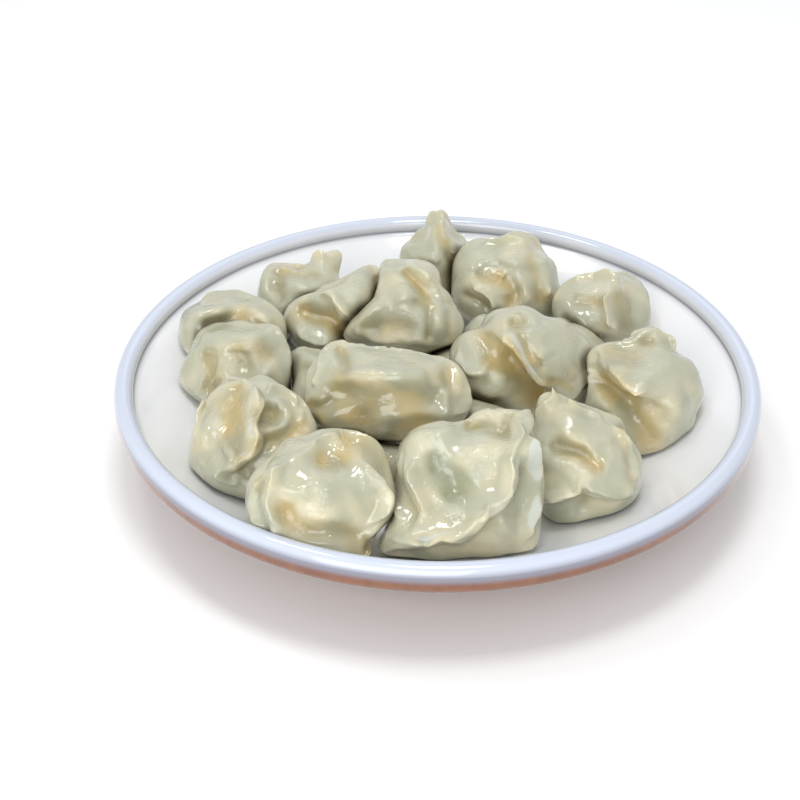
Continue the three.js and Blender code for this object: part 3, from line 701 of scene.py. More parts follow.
FLAPS["left"] = [
    # ridge at the top
    flap(2, 2.2,
         ((-16, 10.5), (-10.5, 11.5), (-5, 12.5), (1, 12), (7, 11)),
         ((-17, 6.5), (-11, 7.5), (-5, 7.5), (1.5, 7.5), (7.5, 6.5))),
    # lower rim
    flap(1.6, 2.4,
         ((-15, -5.5), (-11.5, -8), (-7.5, -9.5), (-3.5, -9.5)),
         ((-18, -8), (-13.5, -11.5), (-8.5, -13), (-3, -12.5))),
    # fold at the right of the tan oval
    flap(2, 2,
         ((-4, 4.5), (-4, 0), (-5, -4), (-6.5, -7.5)),
         ((-7.5, 5), (-7.5, 0), (-8, -3.5), (-10.5, -8))),
]
FLAPS["left_back"] = [
    # upper edge
    flap(1.8, 2.2,
         ((-12.5, 9), (-6.5, 11), (-0.5, 12), (5.5, 11.5)),
         ((-14.5, 6), (-7.5, 7), (-1, 8), (6, 7))),
]
FLAPS["back_left"] = [
    # standing tip
    flap(0.8, 2.2,
         ((4, 10), (7, 10), (10, 8)),
         ((3.5, 14), (7, 15.5), (11, 14))),
    # rim in front
    flap(1.8, 2.2,
         ((-11.5, 6.5), (-6.5, 6.5), (-1, 6.5), (4.5, 5)),
         ((-12, 2), (-6.5, 2), (-1, 1), (5, 0.5))),
]
FLAPS["back_centre"] = [
    # standing tip
    flap(0.6, 2.2,
         ((-3.5, 14), (-1, 15), (2, 14.5), (5, 12)),
         ((-3, 18), (-1, 19.5), (2, 19), (5.5, 16))),
    # rim in front
    flap(1.8, 2.2,
         ((-9.5, 5), (-5.5, 5.5), (-0.5, 4), (4, 1.5)),
         ((-10.5, 0.5), (-5.5, 0), (-1, -1), (3.5, -3))),
]
FLAPS["back_centre_right"] = [
    # finger
    flap(2.6, 2.4,
         ((-15, 1), (-10.5, -0.5), (-6.5, -3.5), (-4, -7.5), (-2.5, -11.5)),
         ((-16, -3), (-12, -5), (-8.5, -8), (-6.5, -12), (-6, -15))),
    # crown
    flap(1.4, 2.4,
         ((-10.5, 12.5), (-4, 12.5), (2.5, 12.5), (8.5, 10)),
         ((-11, 16.5), (-4.5, 17.5), (3, 17), (10, 14.5))),
    # right edge
    flap(1.6, 2.2,
         ((10, 9), (12, 3.5), (12.5, -2.5), (12.5, -8.5)),
         ((14, 10), (16.5, 3.5), (17, -3), (16.5, -9.5))),
    # brow over the dark spot
    flap(2, 2,
         ((-15, 6.5), (-10.5, 6), (-5, 5), (-1, 3.5)),
         ((-16.5, 3), (-11.5, 2), (-5.5, 1), (0, 0))),
]
FLAPS["back_right"] = [
    # ridge
    flap(2.2, 2.2,
         ((5.5, 8), (4.5, 3), (5.5, -2.5), (7.5, -7.5)),
         ((1.5, 8), (1, 2.5), (2, -3), (4.5, -8.5))),
    # top edge
    flap(1.2, 2.2,
         ((-11.5, 9.5), (-5, 11), (1.5, 11), (8, 9.5)),
         ((-12.5, 13.5), (-5.5, 15), (2, 15.5), (9.5, 13))),
]
FLAPS["under_right"] = [
    # facet's edge
    flap(1.6, 2,
         ((-1.5, 5.5), (1.5, 3), (4.5, 0), (7, -3.5)),
         ((-4, 3), (-1, 0.5), (2.5, -2.5), (4.5, -6))),
]

# Where the middle of each dumpling lies, in millimetres
MIDDLES = {
    "front_centre": (7.2, -74.5, 38.5),
    "front_centre_left": (-35.4, -80.5, 39.4),
    "front_right": (50, -49, 30),
    "top_centre": (-17, -26, 42),
    "front_left": (-62, -44, 33),
    "top_right": (30, -3, 41),
    "top_back": (-10, 31, 43),
    "right": (74, -9, 32),
    "top_left": (-38.5, 37.5, 36.5),
    "back_centre_right": (28, 66, 35),
    "left": (-73, 4, 31),
    "back_right": (63, 46, 33),
    "back_left": (-54, 57, 34),
    "back_centre": (-2, 80, 36),
    "left_back": (-78, 27, 33),
    "under_right": (49, 24, 27),
    "under_left": (-43, 1, 25),
    "under_back": (6, 25, 26),
    "under_centre": (13, -24, 24),
    "under_front": (-26, -34, 22),
}


def linear(hex_colour):
    """The linear colour of an sRGB hex value, with its alpha."""
    channels = [int(hex_colour[at : at + 2], 16) / 255 for at in (1, 3, 5)]
    return [c / 12.92 if c <= 0.04045 else ((c + 0.055) / 1.055) ** 2.4 for c in channels] + [1.0]


def add(tree, kind, inputs=None, **settings):
    """Adds a node with its settings, and its inputs: a value, or another node's output to link."""
    node = tree.nodes.new(kind)
    for name, value in settings.items():
        setattr(node, name, value)
    for name, value in (inputs or {}).items():
        if isinstance(value, bpy.types.NodeSocket):
            tree.links.new(value, node.inputs[name])
        else:
            node.inputs[name].default_value = value
    return node


def new_material(name):
    """An empty material, and its node tree."""
    material = bpy.data.materials.new(name)
    material.use_nodes = True
    material.node_tree.nodes.clear()
    return material, material.node_tree


def maths(tree, operation, first, second=0.0):
    """A sum of two numbers or outputs, or another operation on them; gives its output."""
    return add(tree, "ShaderNodeMath", {0: first, 1: second}, operation=operation).outputs[0]


def mix_colour(tree, share, first, second):
    """The colour between two colours or outputs, which are a mix node's inputs 6 and 7; gives its
    output."""
    return add(tree, "ShaderNodeMix", {0: share, 6: first, 7: second}, data_type="RGBA").outputs[2]


def ranged(tree, value, low, high, to_low=0.0, to_high=1.0):
    """An output carried smoothly from one range to another; gives its output."""
    inputs = {"Value": value, "From Min": low, "From Max": high, "To Min": to_low, "To Max": to_high}
    node = add(tree, "ShaderNodeMapRange", inputs, interpolation_type="SMOOTHSTEP")
    return node.outputs["Result"]


def noise(tree, place, size_mm, detail=2.0, roughness=0.5, distortion=0.0):
    """A noise whose patches are about the given size across; gives its output."""
    inputs = {"Vector": place, "Scale": 1.0 / (size_mm * MM), "Detail": detail,
              "Roughness": roughness, "Distortion": distortion}
    return add(tree, "ShaderNodeTexNoise", inputs, normalize=True).outputs["Fac"]


def bump(tree, height, strength, distance_mm, **inputs):
    """A relief of the given depth; gives the output of its normals."""
    inputs = {"Strength": strength, "Distance": distance_mm * MM, "Height": height, **inputs}
    return add(tree, "ShaderNodeBump", inputs).outputs["Normal"]


def attribute(tree, name):
    """A number kept on the mesh's vertices; gives its output."""
    return add(tree, "ShaderNodeAttribute", attribute_name=name).outputs["Fac"]


def finish_material(tree, inputs, **settings):
    """Ends a material with a shader of the given inputs and settings."""
    shader = add(tree, "ShaderNodeBsdfPrincipled", inputs, **settings)
    add(tree, "ShaderNodeOutputMaterial", {"Surface": shader.outputs[0]})


def boiled_dough():
    """Wheat dough rolled thin, pinched round a green filling and boiled: it is wet, a little
    see-through and scatters the light inside. It looks greyish where it lies tight over the
    filling and bluish white along the thin pinched edges. Shading is painted into its colour: a
    darker, greyer tone on the upward faces and a lighter cream down the sides, tan shade where it
    dips, and dark olive shade where two dumplings nearly touch. A film of water makes small bright
    glints."""
    material, tree = new_material("boiled_dough")
    place = add(tree, "ShaderNodeTexCoord").outputs["Object"]
    hollow_shade = attribute(tree, "hollow_shade")
    broad = noise(tree, place, 26, detail=1.5)
    patches = noise(tree, place, 14, detail=1.5, distortion=0.4)
    mottle = noise(tree, place, 2.6, detail=3.0, roughness=0.6)
    # Painted shading by facing: the upward faces get a darker, greyer tone and the sides and undersides
    # a lighter cream.
    top = mix_colour(tree, ranged(tree, broad, 0.35, 0.65), linear("#C3BDA2"), linear("#BEB695"))
    side = mix_colour(tree, ranged(tree, broad, 0.35, 0.65), linear("#EBE3C5"), linear("#E3D8B4"))
    colour = mix_colour(tree, attribute(tree, "facing_shade"), side, top)
    filled = ranged(tree, patches, 0.3, 0.6, 0.3, 0.9)
    filling = maths(tree, "MULTIPLY", filled, attribute(tree, "full"))
    colour = mix_colour(tree, filling, colour, linear("#A8A993"))
    # Painted tan shade, laid in the hollows here and in the creases below.
    painted_warm_shade = mix_colour(tree, ranged(tree, patches, 0.35, 0.65), linear("#AE9552"), linear("#8E8760"))
    colour = mix_colour(tree, ranged(tree, hollow_shade, 0.1, 1.0, 0.0, 0.5), colour, painted_warm_shade)
    for value, low, high, most, tint in (
        # Painted tan shade in the creases.
        (attribute(tree, "crease_shade"), 0.0, 1.0, 0.7, painted_warm_shade),
        (attribute(tree, "herbs"), 0.0, 1.0, 0.7, linear("#7F876F")),
        (attribute(tree, "thin"), 0.3, 1.0, 0.7, linear("#C0C7C2")),
        (mottle, 0.35, 0.75, 0.12, linear("#BDB38C")),
        # Painted dark olive shade where two dumplings nearly touch.
        (attribute(tree, "gap_shade"), 0.0, 1.0, 0.88, linear("#4A3A18")),
    ):
        colour = mix_colour(tree, ranged(tree, value, low, high, 0.0, most), colour, tint)

    film = noise(tree, place, 5.0, detail=2.0)
    grain = noise(tree, place, 5.0, detail=3.0)
    skin = bump(tree, grain, 0.2, 0.4)
    wet = ranged(tree, noise(tree, place, 9, detail=1.0), 0.42, 0.6, 0.05, 1.0)
    beads = maths(tree, "MULTIPLY", noise(tree, place, 1.0, detail=1.0, roughness=0.4), wet)
    finish_material(
        tree,
        {
            "Base Color": colour,
            "Roughness": ranged(tree, film, 0.3, 0.7, 0.3, 0.5),
            "IOR": 1.4,
            "Specular IOR Level": 0.3,
            "Subsurface Weight": 0.4,
            "Subsurface Radius": (1.0, 0.95, 0.75),
            "Subsurface Scale": 3.0 * MM,
            "Coat Weight": 1.0,
            "Coat Roughness": 0.05,
            "Coat IOR": 1.6,
            "Normal": skin,
            "Coat Normal": bump(tree, beads, 1.0, 0.65, Normal=skin),
        },
        subsurface_method="RANDOM_WALK",
    )
    return material


def glazed_stoneware():
    """Stoneware dipped in white glaze and fired: a smooth, faintly uneven gloss. Light is painted
    into the glaze's colour: a bluish reflection and shade on the rolled rim, lavender-grey shade
    below it, a warm brown reflection and shade further down and underneath, and a grey shade along
    the groove where the wall meets the rim."""
    material, tree = new_material("glazed_stoneware")
    place = add(tree, "ShaderNodeTexCoord").outputs["Object"]
    cloud = noise(tree, place, 45, detail=2.0)
    colour = mix_colour(tree, ranged(tree, cloud, 0.35, 0.65), linear("#E8E9EA"), linear("#E3E4E6"))
    # Painted grey shade along the groove where the wall meets the rim.
    groove_shade = ranged(tree, attribute(tree, "groove"), 0.2, 1.0, 0.0, 0.5)
    colour = mix_colour(tree, groove_shade, colour, linear("#BFC2C4"))
    # Painted bluish reflection and shade on the rolled rim.
    colour = mix_colour(tree, attribute(tree, "rim"), colour, linear("#BEC5D2"))
    # Painted lavender-grey shade on the rim's lower side.
    colour = mix_colour(tree, attribute(tree, "rim_underside_shade"), colour, linear("#75737F"))
    blotches = noise(tree, place, 9, detail=4.0, roughness=0.65)
    # Painted warm brown reflection and shade below the rim's widest line and underneath, blotched by a
    # noise that also varies the roughness.
    painted_warm_shade = mix_colour(tree, ranged(tree, blotches, 0.3, 0.7), linear("#805033"), linear("#6E4029"))
    warm_reflection_mask = ranged(tree, attribute(tree, "outside"), 0.3, 0.8)
    colour = mix_colour(tree, warm_reflection_mask, colour, painted_warm_shade)
    ripple = noise(tree, place, 14, detail=1.0)
    finish_material(
        tree,
        {
            "Base Color": colour,
            "Roughness": ranged(tree, blotches, 0.3, 0.7, 0.1, 0.17),
            "IOR": 1.5,
            "Coat Weight": 0.6,
            "Coat Roughness": 0.05,
            "Normal": bump(tree, ripple, 0.12, 0.4),
        },
    )
    return material


def wall_inside(radius):
    """Height of the bowl's inside at a distance from its axis, in millimetres."""
    return FLOOR_TOP + WALL_RISE * (radius / WALL_END) ** WALL_POWER


def wall_outside(radius):
    """Height of the bowl's underside below the same wall."""
    slope = WALL_POWER * WALL_RISE * radius ** (WALL_POWER - 1) / WALL_END**WALL_POWER
    return wall_inside(radius) - WALL_THICKNESS * math.hypot(1, slope)


def bead_arc(height, start, end):
    """Points of an arc of the rolled rim, between two angles in degrees."""
    arc = []
    for step in range(BEAD_STEPS + 1):
        angle = math.radians(start + (end - start) * step / BEAD_STEPS)
        arc.append((BEAD_CENTRE + BEAD_RADIUS * math.cos(angle), height + BEAD_RADIUS * math.sin(angle)))
    return arc


def bowl_section():
    """The bowl's section from the axis under the floor, out under the wall, over the rim and back."""
    section = [(0, FOOT_RECESS), (FOOT_INNER - 2.5, FOOT_RECESS), (FOOT_INNER - 0.9, FOOT_RECESS - 0.5),
               (FOOT_INNER, 0.5), (FOOT_INNER + 0.5, 0.05), (FOOT_INNER + 1.2, 0), (FOOT_OUTER - 1, 0),
               (FOOT_OUTER, 0.25), (FOOT_OUTER + FOOT_EDGE, FOOT_EDGE + 0.2)]
    first = FOOT_OUTER + 2 * FOOT_EDGE
    last = WALL_END - BEAD_RADIUS
    for step in range(WALL_STEPS // 2 + 1):
        radius = first + (last - first) * step / (WALL_STEPS // 2)
        section.append((radius, wall_outside(radius)))
    section += bead_arc(BEAD_HEIGHT - BEAD_SKIRT, -100, -8)
    section += bead_arc(BEAD_HEIGHT, 0, 215)
    for step in range(WALL_STEPS, -1, -1):
        radius = (WALL_END - 0.6) * (step / WALL_STEPS) ** 0.7
        section.append((radius, wall_inside(radius)))
    return section


def smooth_step(low, high, value):
    """0 below the low end and 1 above the high one, with a smooth rise between them."""
    share = np.clip((value - low) / (high - low), 0.0, 1.0)
    return share * share * (3 - 2 * share)


def vertex_places(mesh):
    """Where each vertex lies."""
    flat = np.empty(len(mesh.vertices) * 3)
    mesh.vertices.foreach_get("co", flat)
    return flat.reshape(-1, 3)


def vertex_directions(mesh):
    """The unit normal at each vertex."""
    mesh.update()
    flat = np.empty(len(mesh.vertices) * 3)
    mesh.vertex_normals.foreach_get("vector", flat)
    return flat.reshape(-1, 3)


def move_vertices(mesh, places):
    """Moves every vertex to its new place."""
    mesh.vertices.foreach_set("co", places.ravel())
    mesh.update()


def store(mesh, name, values):
    """Keeps one number per vertex on the mesh, for its material to read."""
    attribute = mesh.attributes.new(name, "FLOAT", "POINT")
    attribute.data.foreach_set("value", np.ascontiguousarray(values, dtype=np.float32))


def apply_modifiers(obj):
    """Gives an object the plain mesh that its modifiers make, and takes them off."""
    evaluated = obj.evaluated_get(bpy.context.evaluated_depsgraph_get())
    mesh = bpy.data.meshes.new_from_object(evaluated)
    obj.modifiers.clear()
    obj.data = mesh
    mesh.name = obj.name
    mesh.shade_smooth()
    return mesh


def lathe_tree():
    """A node tree that turns a section round the upright axis and welds the seam and the middle.
    The section is given in shares of the rim's radius and height."""
    tree = bpy.data.node_groups.new("turned_bowl", "GeometryNodeTree")
    sockets = {}
    for name, kind in (
        ("Section", "Geometry"),
        ("Rim Radius", "Float"),
        ("Rim Height", "Float"),
        ("Steps Round", "Int"),
        ("Glaze", "Material"),
    ):
        socket = tree.interface.new_socket(name, in_out="INPUT", socket_type="NodeSocket" + kind)
        sockets[name] = socket.identifier
    tree.interface.new_socket("Bowl", in_out="OUTPUT", socket_type="NodeSocketGeometry")
    given = add(tree, "NodeGroupInput").outputs

    size = add(tree, "GeometryNodeAttributeDomainSize", {"Geometry": given["Section"]})
    count = size.outputs["Point Count"]
    columns = maths(tree, "ADD", given["Steps Round"], 1)
    grid = add(tree, "GeometryNodeMeshGrid", {"Vertices X": columns, "Vertices Y": count})
    index = add(tree, "GeometryNodeInputIndex").outputs[0]
    column = maths(tree, "FLOOR", maths(tree, "DIVIDE", index, count))
    step_angle = maths(tree, "DIVIDE", 2 * math.pi, given["Steps Round"])
    sampled = {
        "Geometry": given["Section"],
        "Value": add(tree, "GeometryNodeInputPosition").outputs[0],
        "Index": maths(tree, "MODULO", index, count),
    }
    share = add(tree, "GeometryNodeSampleIndex", sampled, data_type="FLOAT_VECTOR", domain="POINT")
    sizes = add(tree, "ShaderNodeCombineXYZ", {"X": given["Rim Radius"], "Z": given["Rim Height"]})
    sized = {0: share.outputs["Value"], 1: sizes.outputs[0]}
    sized = add(tree, "ShaderNodeVectorMath", sized, operation="MULTIPLY")
    turned = {"Vector": sized.outputs[0], "Angle": maths(tree, "MULTIPLY", column, step_angle)}
    turned = add(tree, "ShaderNodeVectorRotate", turned, rotation_type="Z_AXIS")
    shape = grid.outputs["Mesh"]
    for kind, inputs in (
        ("GeometryNodeSetPosition", {"Position": turned.outputs[0]}),
        ("GeometryNodeMergeByDistance", {"Distance": 0.005 * MM}),
        ("GeometryNodeRealizeInstances", {}),
        ("GeometryNodeSetMaterial", {"Material": given["Glaze"]}),
    ):
        shape = add(tree, kind, {"Geometry": shape, **inputs}).outputs[0]
    add(tree, "NodeGroupOutput", {0: shape})
    return tree, sockets


def make_bowl(glaze):
    """The bowl, turned round its axis from its section."""
    section = [(radius / RIM_RADIUS, 0, height / RIM_TOP) for radius, height in bowl_section()]
    line = bpy.data.meshes.new("bowl_section")
    line.from_pydata(section, [(step, step + 1) for step in range(len(section) - 1)], [])
    bowl = bpy.data.objects.new("glazed_bowl", line)
    bpy.context.collection.objects.link(bowl)
    tree, sockets = lathe_tree()
    lathe = bowl.modifiers.new("lathe", "NODES")
    lathe.node_group = tree
    lathe[sockets["Rim Radius"]] = RIM_RADIUS * MM
    lathe[sockets["Rim Height"]] = RIM_TOP * MM
    lathe[sockets["Steps Round"]] = BOWL_STEPS
    lathe[sockets["Glaze"]] = glaze
    mesh = apply_modifiers(bowl)
    mesh.materials.clear()
    mesh.materials.append(glaze)
    mesh.polygons.foreach_set("material_index", [0] * len(mesh.polygons))
    turned = bmesh.new()
    turned.from_mesh(mesh)
    bmesh.ops.recalc_face_normals(turned, faces=turned.faces)
    turned.to_mesh(mesh)
    turned.free()
    places = vertex_places(mesh) / MM
    radius = np.hypot(places[:, 0], places[:, 1])
    # Where the glaze gets its painted warm brown reflection and shade: below the rim's widest line and
    # underneath.
    below = 1 - smooth_step(BEAD_HEIGHT - 2.0, BEAD_HEIGHT + 0.8, places[:, 2])
    beyond = smooth_step(BEAD_CENTRE - 0.5, BEAD_CENTRE + 0.5, radius)
    is_under = places[:, 2] < wall_inside(radius) - 1.5
    store(mesh, "outside", np.maximum(below * beyond, is_under * (radius < BEAD_CENTRE)))
    # Where the glaze gets its painted bluish reflection on the rim and painted lavender-grey shade under
    # it.
    rim = smooth_step(WALL_END - 0.3, WALL_END + 1.2, radius)
    store(mesh, "rim", rim)
    store(mesh, "rim_underside_shade", rim * (1 - smooth_step(BEAD_HEIGHT - 0.6, BEAD_HEIGHT + 2.4, places[:, 2])))
    # Where the glaze gets its painted grey shade in the groove.
    store(mesh, "groove", np.exp(-(((radius - WALL_END + 0.4) / 0.8) ** 2)) * (places[:, 2] > 28))
    return bowl


def fine_skin(name):
    """A merged copy of a dumpling's CAD node, subdivided into a smooth skin."""
    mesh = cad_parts["dumpling_" + name].data.copy()
    merged = bmesh.new()
    merged.from_mesh(mesh)
    bmesh.ops.remove_doubles(merged, verts=merged.verts, dist=0.01 * MM)
    bmesh.ops.join_triangles(merged, faces=merged.faces, angle_face_threshold=math.pi,
                             angle_shape_threshold=math.pi)
    merged.to_mesh(mesh)
    merged.free()
    mesh.materials.clear()
    skin = bpy.data.objects.new("boiled_" + name, mesh)
    bpy.context.collection.objects.link(skin)
    subdivide = skin.modifiers.new("smooth skin", "SUBSURF")
    subdivide.levels = SKIN_LEVELS
    subdivide.render_levels = SKIN_LEVELS
    apply_modifiers(skin)
    return skin


def joined_ends(mesh):
    """The two ends of every edge, both ways round, and how many edges meet at each vertex."""
    edges = np.empty(len(mesh.edges) * 2, dtype=np.int64)
    mesh.edges.foreach_get("vertices", edges)
    edges = edges.reshape(-1, 2)
    ends = np.vstack([edges, edges[:, ::-1]])
    return ends, np.bincount(ends[:, 0], minlength=len(mesh.vertices)).astype(float)


def neighbour_mean(values, ends, counts, passes=1):
    """Each vertex's mean over the vertices joined to it, taken as often as given."""
    for _ in range(passes):
        sums = [np.bincount(ends[:, 0], values[ends[:, 1], axis], len(values)) for axis in range(3)]
        values = np.stack(sums, 1) / counts[:, None]
    return values


def relax(skin):
    """Slides the vertices along the skin until they are evenly spread, so folds come out crisp."""
    ends, counts = joined_ends(skin.data)
    places = vertex_places(skin.data)
    for _ in range(RELAX_PASSES):
        outward = vertex_directions(skin.data)
        way = neighbour_mean(places, ends, counts) - places
        places = places + RELAX_STEP * (way - outward * np.sum(way * outward, axis=1)[:, None])
        move_vertices(skin.data, places)


def tree_of(objects):
    """A search tree over the triangles of several meshes."""
    corners = []
    faces = []
    for obj in objects:
        start = len(corners)
        corners += [v.co.copy() for v in obj.data.vertices]
        faces += [[start + index for index in face.vertices] for face in obj.data.polygons]
    return BVHTree.FromPolygons(corners, faces)


def swell(skin, others):
    """Lets a dumpling fill out toward the dumplings and the wall around it without touching them."""
    places = vertex_places(skin.data)
    outward = vertex_directions(skin.data)
    room = np.array([others.find_nearest(Vector(p))[3] for p in places]) / MM
    step = np.minimum(MOST_SWELL, SWELL_SHARE * room)
    ends, counts = joined_ends(skin.data)
    steps = neighbour_mean(np.stack([step] * 3, 1), ends, counts, SWELL_PASSES)
    move_vertices(skin.data, places + outward * steps * MM)


def curve_through(points):
    """A smooth chain through the points, with a few steps between each two."""
    points = np.array(points, dtype=float)
    if len(points) < 3:
        return points
    ends = np.vstack([2 * points[0] - points[1], points, 2 * points[-1] - points[-2]])
    chain = []
    for before, start, end, after in zip(ends, ends[1:], ends[2:], ends[3:]):
        for step in range(CURVE_STEPS):
            t = step / CURVE_STEPS
            square = 2 * before - 5 * start + 4 * end - after
            cube = 3 * start - before - 3 * end + after
            chain.append(0.5 * (2 * start + (end - before) * t + square * t**2 + cube * t**3))
    chain.append(points[-1])
    return np.array(chain)


def nearest_on(chain, flat):
    """For each point its distance to the chain, the way to it, its side, and its place along it;
    and the chain's length."""
    best = np.full(len(flat), np.inf)
    way = np.zeros((len(flat), 2))
    side = np.zeros(len(flat))
    along = np.zeros(len(flat))
    walked = 0.0
    for start, end in zip(chain, chain[1:]):
        step = end - start
        length = math.hypot(*step)
        if length < 1e-6:
            continue
        share = np.clip(((flat - start) @ step) / length**2, 0, 1)
        offset = flat - start - share[:, None] * step
        distance = np.hypot(offset[:, 0], offset[:, 1])
        closer = distance < best
        best = np.where(closer, distance, best)
        way[closer] = offset[closer]
        side = np.where(closer, step[0] * offset[:, 1] - step[1] * offset[:, 0], side)
        along = np.where(closer, walked + share * length, along)
        walked += length
    return best, way, side, along, walked


def seen_from(eye, forward, centre):
    """The way of looking at a dumpling: the eye, its axes and the plane through the middle."""
    eye = np.array(eye)
    forward = np.array(forward) / np.linalg.norm(forward)
    right = np.cross(forward, (0, 0, 1))
    right /= np.linalg.norm(right)
    above = np.cross(right, forward)
    return {"eye": eye, "centre": centre, "forward": forward, "right": right, "above": above}


def fold_shape(places, outward, view, folds):
    """What the folds do at each point of a skin, in millimetres: how far they raise it toward the
    viewer, how far they push it sideways, how strongly they tint it, and how far it faces the
    viewer."""
    right, above = view["right"], view["above"]
    sight = places - view["eye"]
    depth = sight @ view["forward"]
    plane = (view["centre"] - view["eye"]) @ view["forward"]
    on_plane = view["eye"] + sight * (plane / depth)[:, None] - view["centre"]
    flat = np.stack([on_plane @ right, on_plane @ above], 1) / MM
    toward = -sight / np.linalg.norm(sight, axis=1)[:, None]
    facing = smooth_step(0.05, 0.45, np.sum(outward * toward, axis=1))
    raised = np.zeros(len(places))
    leaned = np.zeros((len(places), 2))
    tint = np.zeros(len(places))
    for one in folds:
        chain = curve_through(one["points"])
        distance, way, side, along, length = nearest_on(chain, flat)
        width = np.where(side > 0, one["left"], one["right"])
        taper = min(TAPER, length / 3)
        ends = smooth_step(-0.6 * taper, taper, along)
        ends *= smooth_step(-0.6 * taper, taper, length - along)
        if one["height"] < 0 or length < 4:
            ends = 1.0
        profile = np.exp(-((distance / width) ** 2)) * ends
        raised += one["height"] * profile
        tint += one["tint"] * np.exp(-((distance / (1.25 * width)) ** 2)) * ends
        steep = (side > 0) == (one["left"] < one["right"])
        if one["sink"]:
            fallen = 1 - np.exp(-((distance / width) ** 2))
            raised -= one["sink"] * steep * ends * fallen * np.exp(-((distance / one["reach"]) ** 2))
        if one["lean"]:
            lateral = way / np.maximum(distance, 1e-3)[:, None] * np.where(steep, 1.0, -1.0)[:, None]
            near = np.exp(-((distance / np.maximum(width, 1.6)) ** 2)) * ends
            leaned += lateral * (one["lean"] * one["height"] * near)[:, None]
    lateral = leaned[:, :1] * right + leaned[:, 1:] * above
    return toward * raised[:, None], lateral, tint, facing


def press_folds(skin, view, folds, spared=None):
    """Presses the folds into a dumpling along the line of sight that they were measured in. What
    faces the spared line of sight is left as it is, and then the folds are softer too."""
    places = vertex_places(skin.data)
    outward = vertex_directions(skin.data)
    raised, lateral, _, facing = fold_shape(places, outward, view, folds)
    if spared is None:
        shift = raised + lateral
    else:
        shift = raised * FAR_SIDE_SHARE
        facing = facing * (1 - smooth_step(-0.8, -0.25, outward @ -spared["forward"]))
    move_vertices(skin.data, places + shift * facing[:, None] * MM)


def spread(chain, count):
    """The same chain with its points evenly spaced."""
    chain = curve_through(chain)
    walked = np.concatenate([[0], np.cumsum(np.hypot(*np.diff(chain, axis=0).T))])
    at = np.linspace(0, walked[-1], count)
    return np.stack([np.interp(at, walked, chain[:, axis]) for axis in (0, 1)], 1)


def depths_under(tree, view, flat):
    """How far along the line of sight the skin lies under each point of the picture plane."""
    depths = []
    for x, y in flat:
        aim = view["centre"] + (view["right"] * x + view["above"] * y) * MM
        way = aim - view["eye"]
        way /= np.linalg.norm(way)
        hit = tree.ray_cast(Vector(view["eye"]), Vector(way))[0]
        if hit is None:
            hit = tree.find_nearest(Vector(aim))[0]
        depths.append((np.array(hit) - view["eye"]) @ view["forward"])
    return np.array(depths)


def placed(view, flat, depths):
    """The points in space that lie under points of the picture plane at the given depths."""
    aims = view["centre"] + (flat[:, :1] * view["right"] + flat[:, 1:] * view["above"]) * MM
    sight = aims - view["eye"]
    return view["eye"] + sight * (depths / (sight @ view["forward"]))[:, None]


def evened(values, passes):
    """A row of numbers with each taken to the mean of itself and its neighbours."""
    for _ in range(passes):
        padded = np.concatenate([values[:1], values, values[-1:]])
        values = (padded[:-2] + 2 * padded[1:-1] + padded[2:]) / 4
    return values


def add_quad(warm_reflection_mask, one_row, next_row, step):
    """A face between two rows of vertices, from one step to the next."""
    warm_reflection_mask.faces.new([one_row[step], one_row[step + 1], next_row[step + 1], next_row[step]])


